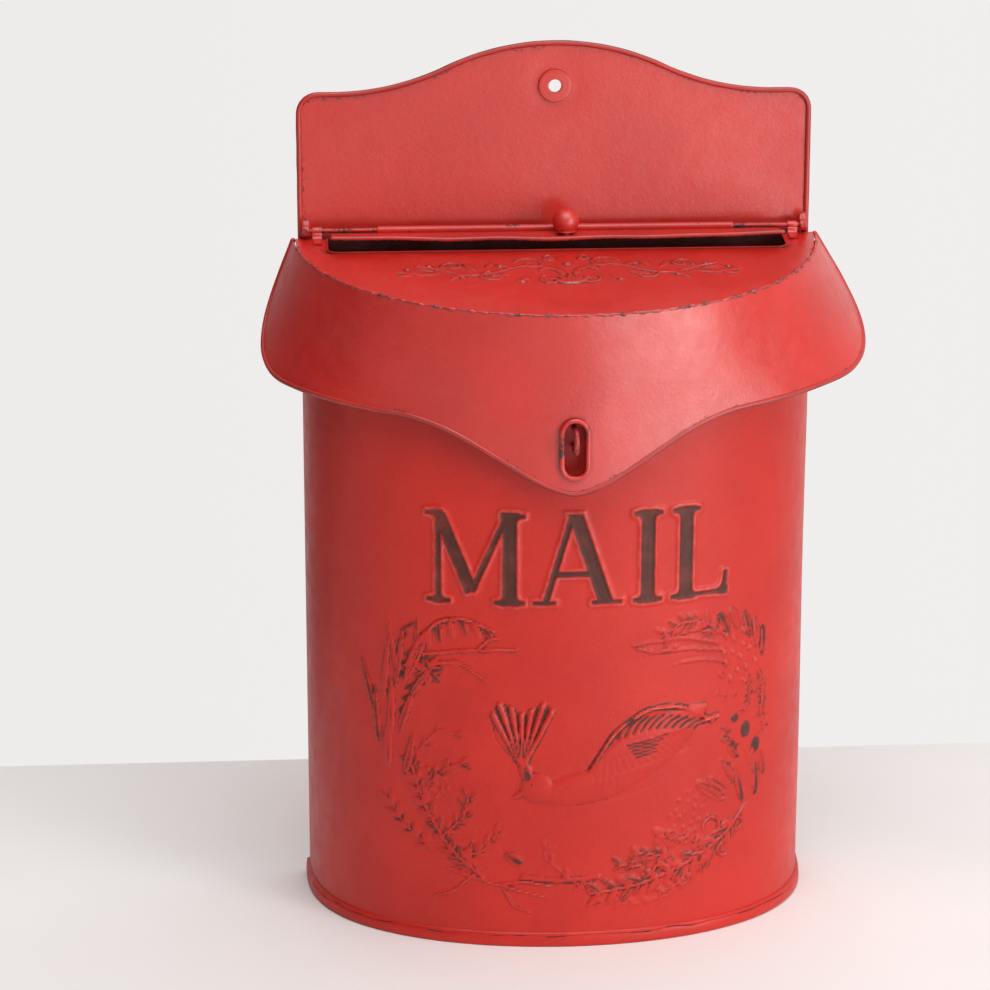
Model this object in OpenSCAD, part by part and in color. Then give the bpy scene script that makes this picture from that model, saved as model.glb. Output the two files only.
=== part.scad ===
// Wall or table-top mailbox in painted sheet steel: a D-shaped body on a crowned back plate,
// a hinged lid with a flared skirt and hasp, and a lift-up flap over the letter slot.
// X runs across the front, +Y towards the wall, +Z up. The origin is on the floor, under the
// middle of the whole mailbox.

/* [Body] */
// Overall width of the D-shaped body
body_w = 214; // [190:1:216]
// Depth of the body in front of the back plate
body_d = 92; // [86:1:94]
// Thickness of the steel sheet
sheet = 0.8; // [0.6:0.1:1]
// Height of the rolled rim round the base
rim_h = 6; // [4:0.5:10]
// How far the base rim stands out from the body
rim_out = 1.6; // [0.9:0.1:1.8]
// Width of the flanges that join the body to the back plate
flange_w = 9; // [5:1:14]

/* [Back plate] */
// Height of the crown of the back plate
plate_h = 366.4; // [360:0.2:390]
// Overall width across the wired edges
plate_w = 216; // [214:1:217]
// Rise of the crown above the shoulders
crown_rise = 20.6; // [12:0.2:28]
// Half width of the curved part of the crown
crown_half = 92; // [80:1:98]
// Radius of the shoulder corners
shoulder_r = 9; // [4:0.5:12]
// Diameter of the wire rolled into the edges
edge_wire_d = 2.2; // [1.6:0.1:2.6]
// Distance of the hanging hole below the crown
hole_drop = 19; // [15:0.5:26]
// Diameter of the hanging hole
hole_d = 5.4; // [4:0.1:7]
// Diameter of the washer round the hanging hole
washer_d = 14; // [11:0.5:18]

/* [Hinge] */
// Height of the hinge rod above the floor
hinge_z = 288.5; // [286:0.5:291]
// Distance of the hinge rod in front of the back plate
hinge_out = 6.5; // [6:0.1:8]
// Diameter of the hinge rod
rod_d = 2; // [1.6:0.1:2.4]
// Radial clearance of the hinge barrels on the rod
rod_fit = 0.06; // [0.02:0.01:0.1]
// Width of each lid knuckle
knuckle_w = 4; // [3:0.5:5]

/* [Lid] */
// Width of the flat top of the lid
lid_w = 220; // [219:1:224]
// Depth of the flat top of the lid from the back plate
lid_d = 99; // [98:0.5:101]
// Fall of the top of the lid towards the front, in degrees
lid_fall = 8.5; // [7:0.5:10]
// Drop of the skirt at the sides
skirt_side = 43.5; // [42:0.5:48]
// How much lower the left wing of the skirt hangs
left_extra = 2; // [0:0.5:4]
// Extra drop of the pointed tip at the front
skirt_tip = 27.8; // [22:0.2:30]
// Slope of the flare at the left rear end, sideways over down
flare_left = 0.41; // [0.36:0.01:0.6]
// Slope of the flare at the right rear end, sideways over down
flare_right = 0.63; // [0.4:0.01:0.7]
// Slope of the flare at the front, forwards over down
flare_front = 0.03; // [0.01:0.01:0.06]

/* [Letter slot and flap] */
// Width of the letter slot
slot_w = 191; // [190:1:192]
// Distance of the front edge of the slot from the back plate
slot_front = 21.8; // [21.6:0.1:24]
// Width of the flap
flap_w = 188; // [176:1:188]
// Length of the flap from the hinge rod
flap_len = 14.5; // [13:0.1:14.6]
// Angle of the flap above level as it stands
flap_rest = 4; // [0:1:10]
// Length of the hinge sleeve of the flap
sleeve_len = 150; // [120:2:170]
// Diameter of the ball knob
knob_d = 11.2; // [9:0.2:11.4]
// Sideways place of the knob
knob_x = 3.5; // [-10:0.5:10]

/* [Hasp] */
// Diameter of the staple and ring wire
hasp_wire_d = 2.1; // [1.6:0.1:2.4]
// Height of the staple's middle above the floor
staple_z = 221; // [219:0.2:222]
// Overall height of the staple loop
staple_h = 10.5; // [9:0.5:11]
// Reach of the staple in front of the body
staple_out = 17.5; // [16:0.5:19]
// Overall width of the slot ring
ring_w = 12.6; // [12:0.2:14]
// Overall height of the slot ring
ring_h = 25.7; // [24:0.1:28]
// Height of the ring's middle above the floor
ring_z = 217.2; // [216:0.2:218]

/* [Hidden] */

$fn = 64;
paint = "#c9302b";
paint_dark = "#a42822";
far = 400;                                   // larger than the mailbox, for cutting

body_r = body_w / 2;
wire_r = edge_wire_d / 2;
hasp_r = hasp_wire_d / 2;
rod_r = rod_d / 2;
bore_r = rod_r + rod_fit;
sleeve_r = bore_r + 0.65;

// front-most and rear-most points, which place the origin in the middle of the depth
front_y = -(body_d + staple_out);
shift_y = -(front_y + sheet) / 2;
// the right wing flares further than the left, so the middle of the width isn't the body's
shift_x = -3.5;

// the top of the lid is a plane that falls to the front; z is its height at a place y
lid_tan = tan(lid_fall);
lid_rear_z = hinge_z - 2.6;
function lid_z(y) = lid_rear_z + lid_tan * y;
body_gap = 5;                                // body edge below the lid's upper face
body_top_z = lid_rear_z - body_gap;

// ---- the D-shaped outlines: |x/a|^2 + |y/d|^m = 1, closed by the back plate ----
body_m = 2.65;
lid_m = 2.2;
function d_point(a, d, m, t) = [a * cos(t), -d * pow(abs(sin(t)), 2 / m)];
function d_outline(a, d, m, n = 72) = [for (i = [0:n]) d_point(a, d, m, 180 * i / n)];
module d_shape(a, d, m) polygon(d_outline(a, d, m));

// ---- the skirt of the lid, as a sheet in (s, h): s along the lid's edge, h down from it ----
skirt_y0 = 5.5;                              // rear ends of the skirt, in front of the plate
skirt_t0 = asin(pow(skirt_y0 / lid_d, lid_m / 2));
skirt_n = 96;
skirt_rows = 8;
corner_s = 42;                               // length of the rounded rear corner
corner_h = 12;                               // straight part of the rear edge
tip_half = 72;                               // half width of the pointed front
loose_s = 26;                                // length over which the rear corner stands free
loose_out = 0.6;
loose_up = 1;

edge_pts = [for (i = [0:skirt_n])
    d_point(lid_w / 2, lid_d, lid_m, skirt_t0 + (180 - 2 * skirt_t0) * i / skirt_n)];
function running(p, i = 0, sum = 0) = i == len(p) - 1 ? [sum]
    : concat([sum], running(p, i + 1, sum + norm(p[i + 1] - p[i])));
edge_s = running(edge_pts);
edge_len = edge_s[skirt_n];
half_len = edge_len / 2;
// one extra point past each rear end, for the wire that wraps the ends
past = 3;
function ext_pt(i) = i < 0 ? edge_pts[0] + [0, past]
    : i > skirt_n ? edge_pts[skirt_n] + [0, past] : edge_pts[i];
function ext_s(i) = i < 0 ? -past : i > skirt_n ? edge_len + past : edge_s[i];
function out_dir(i) = let (k = max(0, min(skirt_n, i)),
    d = ext_pt(min(k + 1, skirt_n)) - ext_pt(max(k - 1, 0)), u = d / norm(d)) [-u.y, u.x];
tab_x = [for (i = [-1:skirt_n + 1]) [ext_s(i), ext_pt(i).x]];
tab_y = [for (i = [-1:skirt_n + 1]) [ext_s(i), ext_pt(i).y]];
tab_nx = [for (i = [-1:skirt_n + 1]) [ext_s(i), out_dir(i).x]];
tab_ny = [for (i = [-1:skirt_n + 1]) [ext_s(i), out_dir(i).y]];

function tip_shape(v) = v < tip_half ? (1 + cos(180 * pow(v / tip_half, 0.8))) / 2 : 0;
function side_drop(s) = skirt_side + left_extra * pow(min(1, max(0, -lookup(s, tab_x) / (lid_w / 2))), 2);
function drop(s) = let (e = min(s, edge_len - s), v = half_len - e)
    e < corner_s ? corner_h + (side_drop(s) - corner_h) * sqrt(1 - pow(1 - max(e, 0) / corner_s, 2))
    : side_drop(s) + skirt_tip * tip_shape(v);
function flare(x) = flare_front
    + ((x < 0 ? flare_left : flare_right) - flare_front) * pow(min(1, abs(x) / (lid_w / 2)), 4);
function loose(s) = pow(max(0, 1 - min(s, edge_len - s) / loose_s), 2);
// a point of the skirt, inset from its outer face by t
function skirt_pt(s, h, t = 0) =
    let (x = lookup(s, tab_x), y = lookup(s, tab_y), nx = lookup(s, tab_nx), ny = lookup(s, tab_ny),
        o = h * flare(x) + loose_out * loose(s) * max(0, 1 - h / 20) - t)
    [x + nx * o, y + ny * o, lid_z(y) + loose_up * loose(s) * max(0, 1 - h / 20) - h];

touch = 0.02;                                // gap left between soldered parts

// ---- helpers ----
// everything is drawn with y = 0 on the front face of the back plate, and then shifted
module placed() translate([shift_x, shift_y, 0]) children();
// a frame on the hinge rod: x along it, y forwards from it, z up, turned up by a degrees
module on_hinge(a) translate([0, -hinge_out, hinge_z]) rotate([-a, 0, 0]) mirror([0, 1, 0]) children();
module rod_x(r, len) rotate([0, 90, 0]) cylinder(r = r, h = len, center = true);
module tube_x(r_out, r_in, len) difference() {
    rod_x(r_out, len);
    rod_x(r_in, len + 1);
}
// a closed sheet between two grids of points
module grid_sheet(a, b) {
    n = len(a);
    m = len(a[0]);
    pts = concat([for (r = a) each r], [for (r = b) each r]);
    o = n * m;
    polyhedron(pts, concat(
        [for (i = [0:n - 2], j = [0:m - 2]) each [
            [i * m + j, i * m + j + 1, (i + 1) * m + j + 1],
            [i * m + j, (i + 1) * m + j + 1, (i + 1) * m + j]]],
        [for (i = [0:n - 2], j = [0:m - 2]) each [
            [o + i * m + j, o + (i + 1) * m + j + 1, o + i * m + j + 1],
            [o + i * m + j, o + (i + 1) * m + j, o + (i + 1) * m + j + 1]]],
        [for (i = [0:n - 2]) each [
            [i * m, (i + 1) * m, o + (i + 1) * m], [i * m, o + (i + 1) * m, o + i * m],
            [i * m + m - 1, o + (i + 1) * m + m - 1, (i + 1) * m + m - 1],
            [i * m + m - 1, o + i * m + m - 1, o + (i + 1) * m + m - 1]]],
        [for (j = [0:m - 2]) each [
            [j, o + j + 1, j + 1], [j, o + j, o + j + 1],
            [(n - 1) * m + j, (n - 1) * m + j + 1, o + (n - 1) * m + j + 1],
            [(n - 1) * m + j, o + (n - 1) * m + j + 1, o + (n - 1) * m + j]]]
    ));
}
// a round wire along a list of points
function unit(v) = v / norm(v);
module wire_along(p, r, sides = 8) {
    n = len(p);
    ring = function (i) let (
            t = unit(p[min(i + 1, n - 1)] - p[max(i - 1, 0)]),
            u = unit(cross(t, [0.13, -0.4, 0.91])), v = cross(t, u))
        [for (k = [0:sides - 1]) p[i] + r * (cos(360 * k / sides) * u + sin(360 * k / sides) * v)];
    polyhedron([for (i = [0:n - 1]) each ring(i)], concat(
        [[for (k = [0:sides - 1]) k]],
        [[for (k = [sides - 1:-1:0]) (n - 1) * sides + k]],
        [for (i = [0:n - 2], k = [0:sides - 1]) let (k2 = (k + 1) % sides) each [
            [i * sides + k, (i + 1) * sides + k, (i + 1) * sides + k2],
            [i * sides + k, (i + 1) * sides + k2, i * sides + k2]]]
    ));
}

// ---- back plate ----
crown_step = crown_half / 2;
crown_r = (crown_step * crown_step + crown_rise * crown_rise / 4) / crown_rise;
crown_a = asin(crown_step / crown_r);
shoulder_z = plate_h - crown_rise;
wire_end_z = 283.6;                          // lower ends of the wired edge
wire_y = sheet - wire_r;                     // the wire is flush with the rear of the plate
wire_nip = sqrt(wire_r * wire_r - wire_y * wire_y) + 0.03;
crown_steps = 12;
// the outer edge of the upper plate, inset by e, from the right side over the crown to the left
function plate_half_edge(e) = concat(
    [for (a = [0:15:90]) [plate_w / 2 - shoulder_r, shoulder_z - shoulder_r]
        + (shoulder_r - e) * [cos(a), sin(a)]],
    [for (i = [0:crown_steps]) let (a = crown_a * i / crown_steps)
        [crown_half - (crown_r + e) * sin(a), shoulder_z + crown_r - (crown_r + e) * cos(a)]],
    [for (i = [1:crown_steps]) let (a = crown_a * (1 - i / crown_steps))
        [(crown_r - e) * sin(a), plate_h - crown_r + (crown_r - e) * cos(a)]]
);
function mirrored(p) = concat(p, [for (i = [len(p) - 2:-1:0]) [-p[i].x, p[i].y]]);
module plate_outline(e) polygon(concat([[plate_w / 2 - e, wire_end_z]],
    mirrored(plate_half_edge(e)), [[-(plate_w / 2 - e), wire_end_z]]));
module plate_solid() rotate([90, 0, 0]) translate([0, 0, -sheet]) linear_extrude(sheet) {
    plate_outline(wire_r + wire_nip);
    translate([-body_r, 0]) square([body_w, wire_end_z]);
}
module back_plate() color(paint) placed() difference() {
    plate_solid();
    translate([0, 0, plate_h - hole_drop]) rotate([90, 0, 0]) cylinder(d = hole_d, h = 10, center = true);
}

// the wired edge runs up one side, over the shoulders and the crown, and down the other side
wire_path = concat([[plate_w / 2 - wire_r, wire_end_z]], mirrored(plate_half_edge(wire_r)),
    [[wire_r - plate_w / 2, wire_end_z]]);
module back_plate_wire() color(paint_dark) placed()
    wire_along([for (q = wire_path) [q.x, wire_y, q.y]], wire_r, 10);

module hanger_washer() color(paint) placed()
    translate([0, 0, plate_h - hole_drop]) rotate([90, 0, 0]) rotate_extrude() union() {
        translate([hole_d / 2, 0]) square([(washer_d - hole_d) / 2 - 0.6, 1.2]);
        translate([hole_d / 2, 0]) square([(washer_d - hole_d) / 2, 0.6]);
        translate([washer_d / 2 - 0.6, 0.6]) circle(r = 0.6, $fn = 24);
    }

// ---- body ----
// a half space above the sloping top edge of the body, lowered by e
module above_body_edge(e = 0) translate([0, 0, body_top_z - e]) rotate([lid_fall, 0, 0])
    translate([-far / 2, -far / 2, 0]) cube([far, far, far]);
staple_leg = (staple_h - hasp_wire_d) / 2;   // each leg of the staple from its middle
module body_shell() color(paint) placed() difference() {
    union() {
        translate([0, 0, sheet]) linear_extrude(body_top_z) difference() {
            d_shape(body_r, body_d, body_m);
            d_shape(body_r - sheet, body_d - sheet, body_m);
        }
        for (side = [-1, 1]) translate([side * (body_r - flange_w / 2 - sheet / 2), -sheet / 2, 0])
            translate([-flange_w / 2, -sheet / 2, sheet]) cube([flange_w, sheet, body_top_z]);
    }
    above_body_edge(wire_r);
    for (k = [-1, 1]) translate([0, -body_d, staple_z + k * staple_leg])
        rotate([90, 0, 0]) cylinder(r = hasp_r, h = 8, center = true);
}

// a safe round edge, rolled along the top of the body
module body_top_wire() color(paint) placed() {
    inset = sheet / 2;
    wire_along([for (i = [1:47]) let (q = d_point(body_r - inset, body_d - inset, body_m, 180 * i / 48))
        [q.x, q.y, body_top_z + lid_tan * q.y]], wire_r, 10);
}

// the base is a shallow pan whose rim wraps the foot of the body
module base_pan() color(paint) placed() {
    linear_extrude(sheet) d_shape(body_r, body_d, body_m);
    linear_extrude(rim_h) intersection() {
        difference() {
            d_shape(body_r + rim_out, body_d + rim_out, body_m);
            d_shape(body_r, body_d, body_m);
        }
        translate([-far / 2, -far]) square([far, far]);
    }
}

// ---- hasp staple on the body ----
staple_grip = 1.2;                           // backing plate inside the body
staple_in = body_d - sheet - staple_grip - 0.6;
clinch = 5;
module staple_wire(len) cylinder(r = hasp_r, h = len, $fn = 32);
module hasp_staple() color(paint_dark) placed() translate([0, 0, staple_z]) {
    loop_y = front_y + staple_h / 2;
    for (k = [-1, 1]) {
        translate([0, -staple_in + 1, k * staple_leg]) rotate([90, 0, 0]) staple_wire(-loop_y - staple_in + 1);
        translate([0, -staple_in + 1, k * staple_leg]) rotate([k > 0 ? 0 : 180, 0, 0]) staple_wire(clinch);
    }
    translate([0, loop_y, 0]) rotate([0, 90, 0]) rotate([0, 0, 180]) rotate_extrude(angle = 180)
        translate([staple_leg, 0]) circle(r = hasp_r, $fn = 32);
}
module staple_plate() color(paint) placed() difference() {
    translate([-6, -body_d + sheet + 0.1, staple_z - 11]) cube([12, staple_grip, 22]);
    for (k = [-1, 1]) translate([0, -body_d, staple_z + k * staple_leg])
        rotate([90, 0, 0]) cylinder(r = hasp_r, h = 8, center = true);
}

// ---- hinge rod and its brackets on the back plate ----
bracket_w = 3.4;
bracket_x = plate_w / 2 - 1.6 - bracket_w / 2;
bracket_r = 2.5;
bracket_h = 9;
module hinge_rod() color(paint_dark) placed() translate([0, -hinge_out, hinge_z])
    rod_x(rod_r, 2 * bracket_x + bracket_w);
module rod_bracket(side) color(paint_dark) placed() translate([side * bracket_x, 0, hinge_z]) difference() {
    union() {
        translate([0, -hinge_out, 0]) rod_x(bracket_r, bracket_w);
        translate([-bracket_w / 2, -hinge_out, -bracket_r]) cube([bracket_w, hinge_out, 2 * bracket_r]);
        translate([-bracket_w / 2, -2.4, -bracket_r]) cube([bracket_w, 2.4, bracket_r + bracket_h]);
    }
    translate([0, -hinge_out, 0]) rod_x(rod_r, bracket_w + 1);
    translate([side * (plate_w / 2 - wire_r - bracket_x), wire_y, -far / 2]) cylinder(r = wire_r, h = far);
}
module rod_bracket_left() rod_bracket(-1);
module rod_bracket_right() rod_bracket(1);

// ---- lid ----
// the slot's outline in the plane of the lid, open at the rear, with rounded front corners
lid_cos = cos(lid_fall);
slot_r = 3;
module slot_outline(grow = 0) {
    front = slot_front / lid_cos + grow;
    translate([-slot_w / 2 - grow, -front + slot_r]) square([slot_w + 2 * grow, front]);
    translate([-slot_w / 2 - grow + slot_r, -front]) square([slot_w + 2 * grow - 2 * slot_r, front]);
    for (k = [-1, 1]) translate([k * (slot_w / 2 + grow - slot_r), -front + slot_r]) circle(r = slot_r);
}
lid_back = 5.2;                              // rear edge of the lid's top, in front of the plate
lip_h = 2.6;                                 // the edge turned down round the slot
module lid_top() color(paint) placed() translate([0, 0, lid_rear_z]) rotate([lid_fall, 0, 0]) {
    difference() {
        translate([0, 0, -sheet]) linear_extrude(sheet)
            d_shape(lid_w / 2 - sheet, (lid_d - sheet) / lid_cos, lid_m);
        translate([0, 0, -sheet - 1]) linear_extrude(sheet + 2) slot_outline();
        translate([-far / 2, -lid_back, -far / 2]) cube([far, far, far]);
    }
    difference() {
        translate([0, 0, -lip_h]) linear_extrude(lip_h - sheet) slot_outline(sheet);
        translate([0, 0, -lip_h - 1]) linear_extrude(lip_h + 2) slot_outline();
        translate([-far / 2, -lid_back, -far / 2]) cube([far, far, far]);
    }
}

ring_in_w = ring_w - 2 * hasp_wire_d;
ring_in_h = ring_h - 2 * hasp_wire_d;
ring_skirt_y = lid_d + flare_front * (lid_z(-lid_d) - ring_z);
module slot_through(w, h) {
    translate([0, -lid_d, ring_z]) rotate([90, 0, 0]) {
        for (k = [-1, 1]) translate([0, k * (h - w) / 2, 0]) cylinder(d = w, h = 30, center = true);
        cube([w, h - w, 30], center = true);
    }
}
module lid_skirt() color(paint) placed() difference() {
    grid_sheet(
        [for (i = [0:skirt_n]) [for (j = [0:skirt_rows]) skirt_pt(edge_s[i], drop(edge_s[i]) * j / skirt_rows)]],
        [for (i = [0:skirt_n]) [for (j = [0:skirt_rows])
            skirt_pt(edge_s[i], drop(edge_s[i]) * j / skirt_rows, sheet)]]
    );
    slot_through(ring_in_w, ring_in_h);
}

// the wire rolled into the skirt's free edge: down the rear ends and along the bottom
rear_steps = 3;
edge_sh = concat(
    [for (j = [0:rear_steps - 1]) [0, corner_h * j / rear_steps]],
    [for (i = [0:skirt_n]) [edge_s[i], drop(edge_s[i])]],
    [for (j = [rear_steps - 1:-1:0]) [edge_len, corner_h * j / rear_steps]]
);
function edge_off(i) = let (n = len(edge_sh), d = unit(edge_sh[min(i + 1, n - 1)] - edge_sh[max(i - 1, 0)]))
    edge_sh[i] + (wire_r + touch) * [-d.y, d.x];
module lid_edge_wire() color(paint_dark) placed()
    wire_along([for (i = [0:len(edge_sh) - 1]) let (q = edge_off(i)) skirt_pt(q.x, q.y, sheet / 2)], wire_r);

// a thin run of solder along the corner between the top and the skirt
seam_r = 0.55;
seam_from = 8;
module lid_seam() color(paint_dark) placed()
    wire_along([for (i = [seam_from:2:skirt_n - seam_from])
        skirt_pt(edge_s[i], 0, sheet / 2) + [0, 0, seam_r + touch]], seam_r, 6);

// a wire ring, split at one side, soldered round the hasp slot
ring_gap = 0.6;
module slot_ring() color(paint) placed() translate([0, -ring_skirt_y - hasp_r - touch, ring_z])
    rotate([-atan(flare_front), 0, 0]) difference() {
    union() {
        for (k = [-1, 1]) {
            translate([k * (ring_w / 2 - hasp_r), 0, -(ring_h - ring_w) / 2]) staple_wire(ring_h - ring_w);
            translate([0, 0, k * (ring_h - ring_w) / 2]) rotate([90, 0, 0]) rotate([0, 0, k > 0 ? 0 : 180])
                rotate_extrude(angle = 180) translate([ring_w / 2 - hasp_r, 0]) circle(r = hasp_r, $fn = 32);
        }
    }
    translate([-ring_w / 2 - 1, -5, 1]) cube([hasp_wire_d + 2, 10, ring_gap]);
}

// a strap from the lid's top, rolled round the rod
knuckle_x = bracket_x - bracket_w / 2 - 1 - knuckle_w / 2;
strap_y = -hinge_out - sleeve_r + sheet;     // rear face of the strap
module lid_knuckle(side) color(paint) placed() difference() {
    translate([side * knuckle_x, 0, 0]) {
        on_hinge(0) rod_x(sleeve_r, knuckle_w);
        translate([-knuckle_w / 2, strap_y - sheet, lid_z(strap_y)]) cube([knuckle_w, sheet, hinge_z - lid_z(strap_y)]);
        translate([0, 0, lid_rear_z]) rotate([lid_fall, 0, 0])
            translate([-knuckle_w / 2, -hinge_out - sleeve_r - 5, 0]) cube([knuckle_w, 6, sheet]);
    }
    on_hinge(0) rod_x(bore_r, far);
}
module lid_knuckle_left() lid_knuckle(-1);
module lid_knuckle_right() lid_knuckle(1);

// ---- letter flap, drawn on the hinge with y forwards ----
flap_sheet = 0.7;
flap_top = -sleeve_r + flap_sheet;           // the flap hangs from the bottom of its sleeve
hem_r = 1;
flap_back = 2.3;                             // rear edge of the flap beside the sleeve
knob_out = 8;
knob_rise = 4.2;
rivet_r = 1.2;
module letter_flap() color(paint) placed() on_hinge(flap_rest) difference() {
    union() {
        translate([-flap_w / 2, flap_back, -sleeve_r]) cube([flap_w, flap_len - hem_r - flap_back, flap_sheet]);
        translate([-sleeve_len / 2, 0, -sleeve_r]) cube([sleeve_len, flap_len - hem_r, flap_sheet]);
    }
    rod_x(sleeve_r, far);
    translate([knob_x, knob_out, 0]) cylinder(r = rivet_r, h = 10, center = true);
}
module flap_sleeve() color(paint) placed() on_hinge(flap_rest) tube_x(sleeve_r, bore_r, sleeve_len);
module flap_hem_wire() color(paint) placed() on_hinge(flap_rest)
    translate([0, flap_len, flap_top - flap_sheet / 2]) rod_x(hem_r, flap_w);
module flap_knob() color(paint_dark) placed() on_hinge(flap_rest) translate([knob_x, knob_out, flap_top])
    difference() {
        translate([0, 0, knob_rise]) sphere(d = knob_d);
        translate([-10, -10, -20]) cube([20, 20, 20]);
        translate([0, 0, -1]) cylinder(r = rivet_r, h = 4);
    }
module knob_rivet() color(paint_dark) placed() on_hinge(flap_rest)
    translate([knob_x, knob_out, flap_top - flap_sheet]) union() {
        cylinder(r = rivet_r, h = flap_sheet + 3);
        translate([0, 0, -0.7]) cylinder(r = 2.3, h = 0.7);
    }

back_plate();
back_plate_wire();
hanger_washer();
body_shell();
body_top_wire();
base_pan();
hasp_staple();
staple_plate();
hinge_rod();
rod_bracket_left();
rod_bracket_right();
lid_top();
lid_skirt();
lid_edge_wire();
lid_seam();
slot_ring();
lid_knuckle_left();
lid_knuckle_right();
letter_flap();
flap_sleeve();
flap_hem_wire();
flap_knob();
knob_rivet();
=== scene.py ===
import math

import bmesh
import bpy
import numpy as np
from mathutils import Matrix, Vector, geometry

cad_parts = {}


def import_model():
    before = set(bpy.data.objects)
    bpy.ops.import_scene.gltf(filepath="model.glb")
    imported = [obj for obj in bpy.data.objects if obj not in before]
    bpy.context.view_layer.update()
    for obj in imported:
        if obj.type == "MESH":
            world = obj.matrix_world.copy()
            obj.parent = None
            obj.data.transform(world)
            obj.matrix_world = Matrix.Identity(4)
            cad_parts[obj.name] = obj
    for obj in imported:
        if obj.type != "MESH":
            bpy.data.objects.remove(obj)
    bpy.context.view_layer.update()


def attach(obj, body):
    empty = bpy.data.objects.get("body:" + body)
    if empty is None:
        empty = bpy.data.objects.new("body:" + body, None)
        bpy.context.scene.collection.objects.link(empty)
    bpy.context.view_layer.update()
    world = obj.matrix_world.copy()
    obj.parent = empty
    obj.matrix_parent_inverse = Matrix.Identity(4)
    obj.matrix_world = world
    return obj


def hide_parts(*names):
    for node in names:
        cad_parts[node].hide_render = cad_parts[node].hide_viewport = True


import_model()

# Shapes are drawn in millimetres with y = 0 on the front face of the back plate, as in the
# CAD source, and are moved to the shared frame when a piece is made.
SHIFT_X, SHIFT_Y = -3.5, 54.35
BODY_A, BODY_D, BODY_M = 107.0, 92.0, 2.65          # half width, depth and squareness of the D plan
LID_A, LID_D, LID_M = 110.0, 99.0, 2.2
SHEET = 0.8
FALL = math.radians(8.5)                            # how much the lid falls to the front
TAN, COS, SIN = math.tan(FALL), math.cos(FALL), math.sin(FALL)
LID_Z = 285.9
BODY_TOP = LID_Z - 5.0
WIRE_R = 1.1
HASP_R = 1.05
HINGE_Y, HINGE_Z = -6.5, 288.5
BORE_R, SLEEVE_R = 1.06, 1.71
PLATE_HALF, CROWN_Z, SHOULDER_Z = 108.0, 366.4, 345.8
WIRE_END_Z = 283.6
HOLE_Z, HOLE_R = 347.4, 2.7
STAPLE_Z, STAPLE_LEG = 221.0, 4.2
PLATE_GAP = 0.02                                    # left between the plate and what is soldered to it
RING_Z, RING_HALF = 217.2, 6.55


# ---------------------------------------------------------------- mesh helpers
def world(points):
    return (np.asarray(points, float) + (SHIFT_X, SHIFT_Y, 0)) * 0.001


def piece(name, verts, faces, body, slot, material, nodes=(), attrs=None, sharp=38):
    """A mesh piece that rides on a body; verts in millimetres, attrs are per-vertex values."""
    mesh = bpy.data.meshes.new(name)
    mesh.from_pydata(world(verts).tolist(), [], [list(map(int, f)) for f in faces])
    for key, values in (attrs or {}).items():
        layer = mesh.attributes.new(key, "FLOAT", "POINT")
        layer.data.foreach_set("value", np.asarray(values, np.float32).ravel())
    bm = bmesh.new()
    bm.from_mesh(mesh)
    bmesh.ops.recalc_face_normals(bm, faces=bm.faces)
    bm.to_mesh(mesh)
    bm.free()
    mesh.shade_smooth()
    mesh.set_sharp_from_angle(angle=math.radians(sharp))
    mesh.materials.append(material)
    obj = bpy.data.objects.new(name, mesh)
    bpy.context.scene.collection.objects.link(obj)
    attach(obj, body)
    if nodes:
        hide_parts(*nodes)
    return obj


def quads(n, m, wrap_m=False, wrap_n=False):
    """Faces of a grid of n rows of m points."""
    i, j = np.meshgrid(np.arange(n if wrap_n else n - 1), np.arange(m if wrap_m else m - 1), indexing="ij")
    i2, j2 = (i + 1) % n, (j + 1) % m
    return np.stack([i * m + j, i * m + j2, i2 * m + j2, i2 * m + j], -1).reshape(-1, 4).tolist()


def sweep(path, a, b, profile, closed=False):
    """A closed profile carried along a path; a and b are the profile's two directions."""
    profile = np.asarray(profile, float)
    if profile.ndim == 2:
        profile = np.broadcast_to(profile, (len(path), *profile.shape))
    n, k = len(path), profile.shape[1]
    verts = path[:, None] + profile[:, :, :1] * a[:, None] + profile[:, :, 1:] * b[:, None]
    faces = quads(n, k, wrap_m=True, wrap_n=closed)
    if not closed:
        faces += [list(range(k))[::-1], list(range((n - 1) * k, n * k))]
    return verts.reshape(-1, 3), faces


def unit(v):
    return v / np.maximum(np.linalg.norm(v, axis=-1, keepdims=True), 1e-12)


def frames(path, closed=False):
    """Directions across a path that turn as little as possible along it."""
    t = unit(np.roll(path, -1, 0) - np.roll(path, 1, 0)) if closed else unit(np.gradient(path, axis=0))
    u = np.zeros_like(t)
    u[0] = unit(np.cross(t[0], (0.31, -0.52, 0.79)))
    for i in range(1, len(t)):
        u[i] = unit(u[i - 1] - (u[i - 1] @ t[i]) * t[i])
    return t, u, np.cross(t, u)


def circle(n):
    a = np.linspace(0, 2 * np.pi, n, endpoint=False)
    return np.stack([np.cos(a), np.sin(a)], 1)


def tube(path, radius, sides=14, closed=False, oval=(1.0, 1.0)):
    """A round wire with domed ends; radius is one number or one for each point."""
    path = np.asarray(path, float)
    radius = np.broadcast_to(np.asarray(radius, float), len(path)).copy()
    if not closed:
        t = unit(np.gradient(path, axis=0))
        caps = np.radians([82, 60, 32])
        start = [path[0] - t[0] * radius[0] * np.sin(c) for c in caps]
        end = [path[-1] + t[-1] * radius[-1] * np.sin(c) for c in caps[::-1]]
        path = np.vstack([start, path, end])
        radius = np.concatenate([radius[0] * np.cos(caps), radius, radius[-1] * np.cos(caps[::-1])])
    _, u, v = frames(path, closed)
    ring = circle(sides) * np.asarray(oval)
    return sweep(path, u, v, ring[None] * radius[:, None, None], closed)


def capped(values):
    """One value for each ring of a tube, from one for each point of its path."""
    return np.vstack([values[:1].repeat(3, 0), values, values[-1:].repeat(3, 0)])


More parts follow.
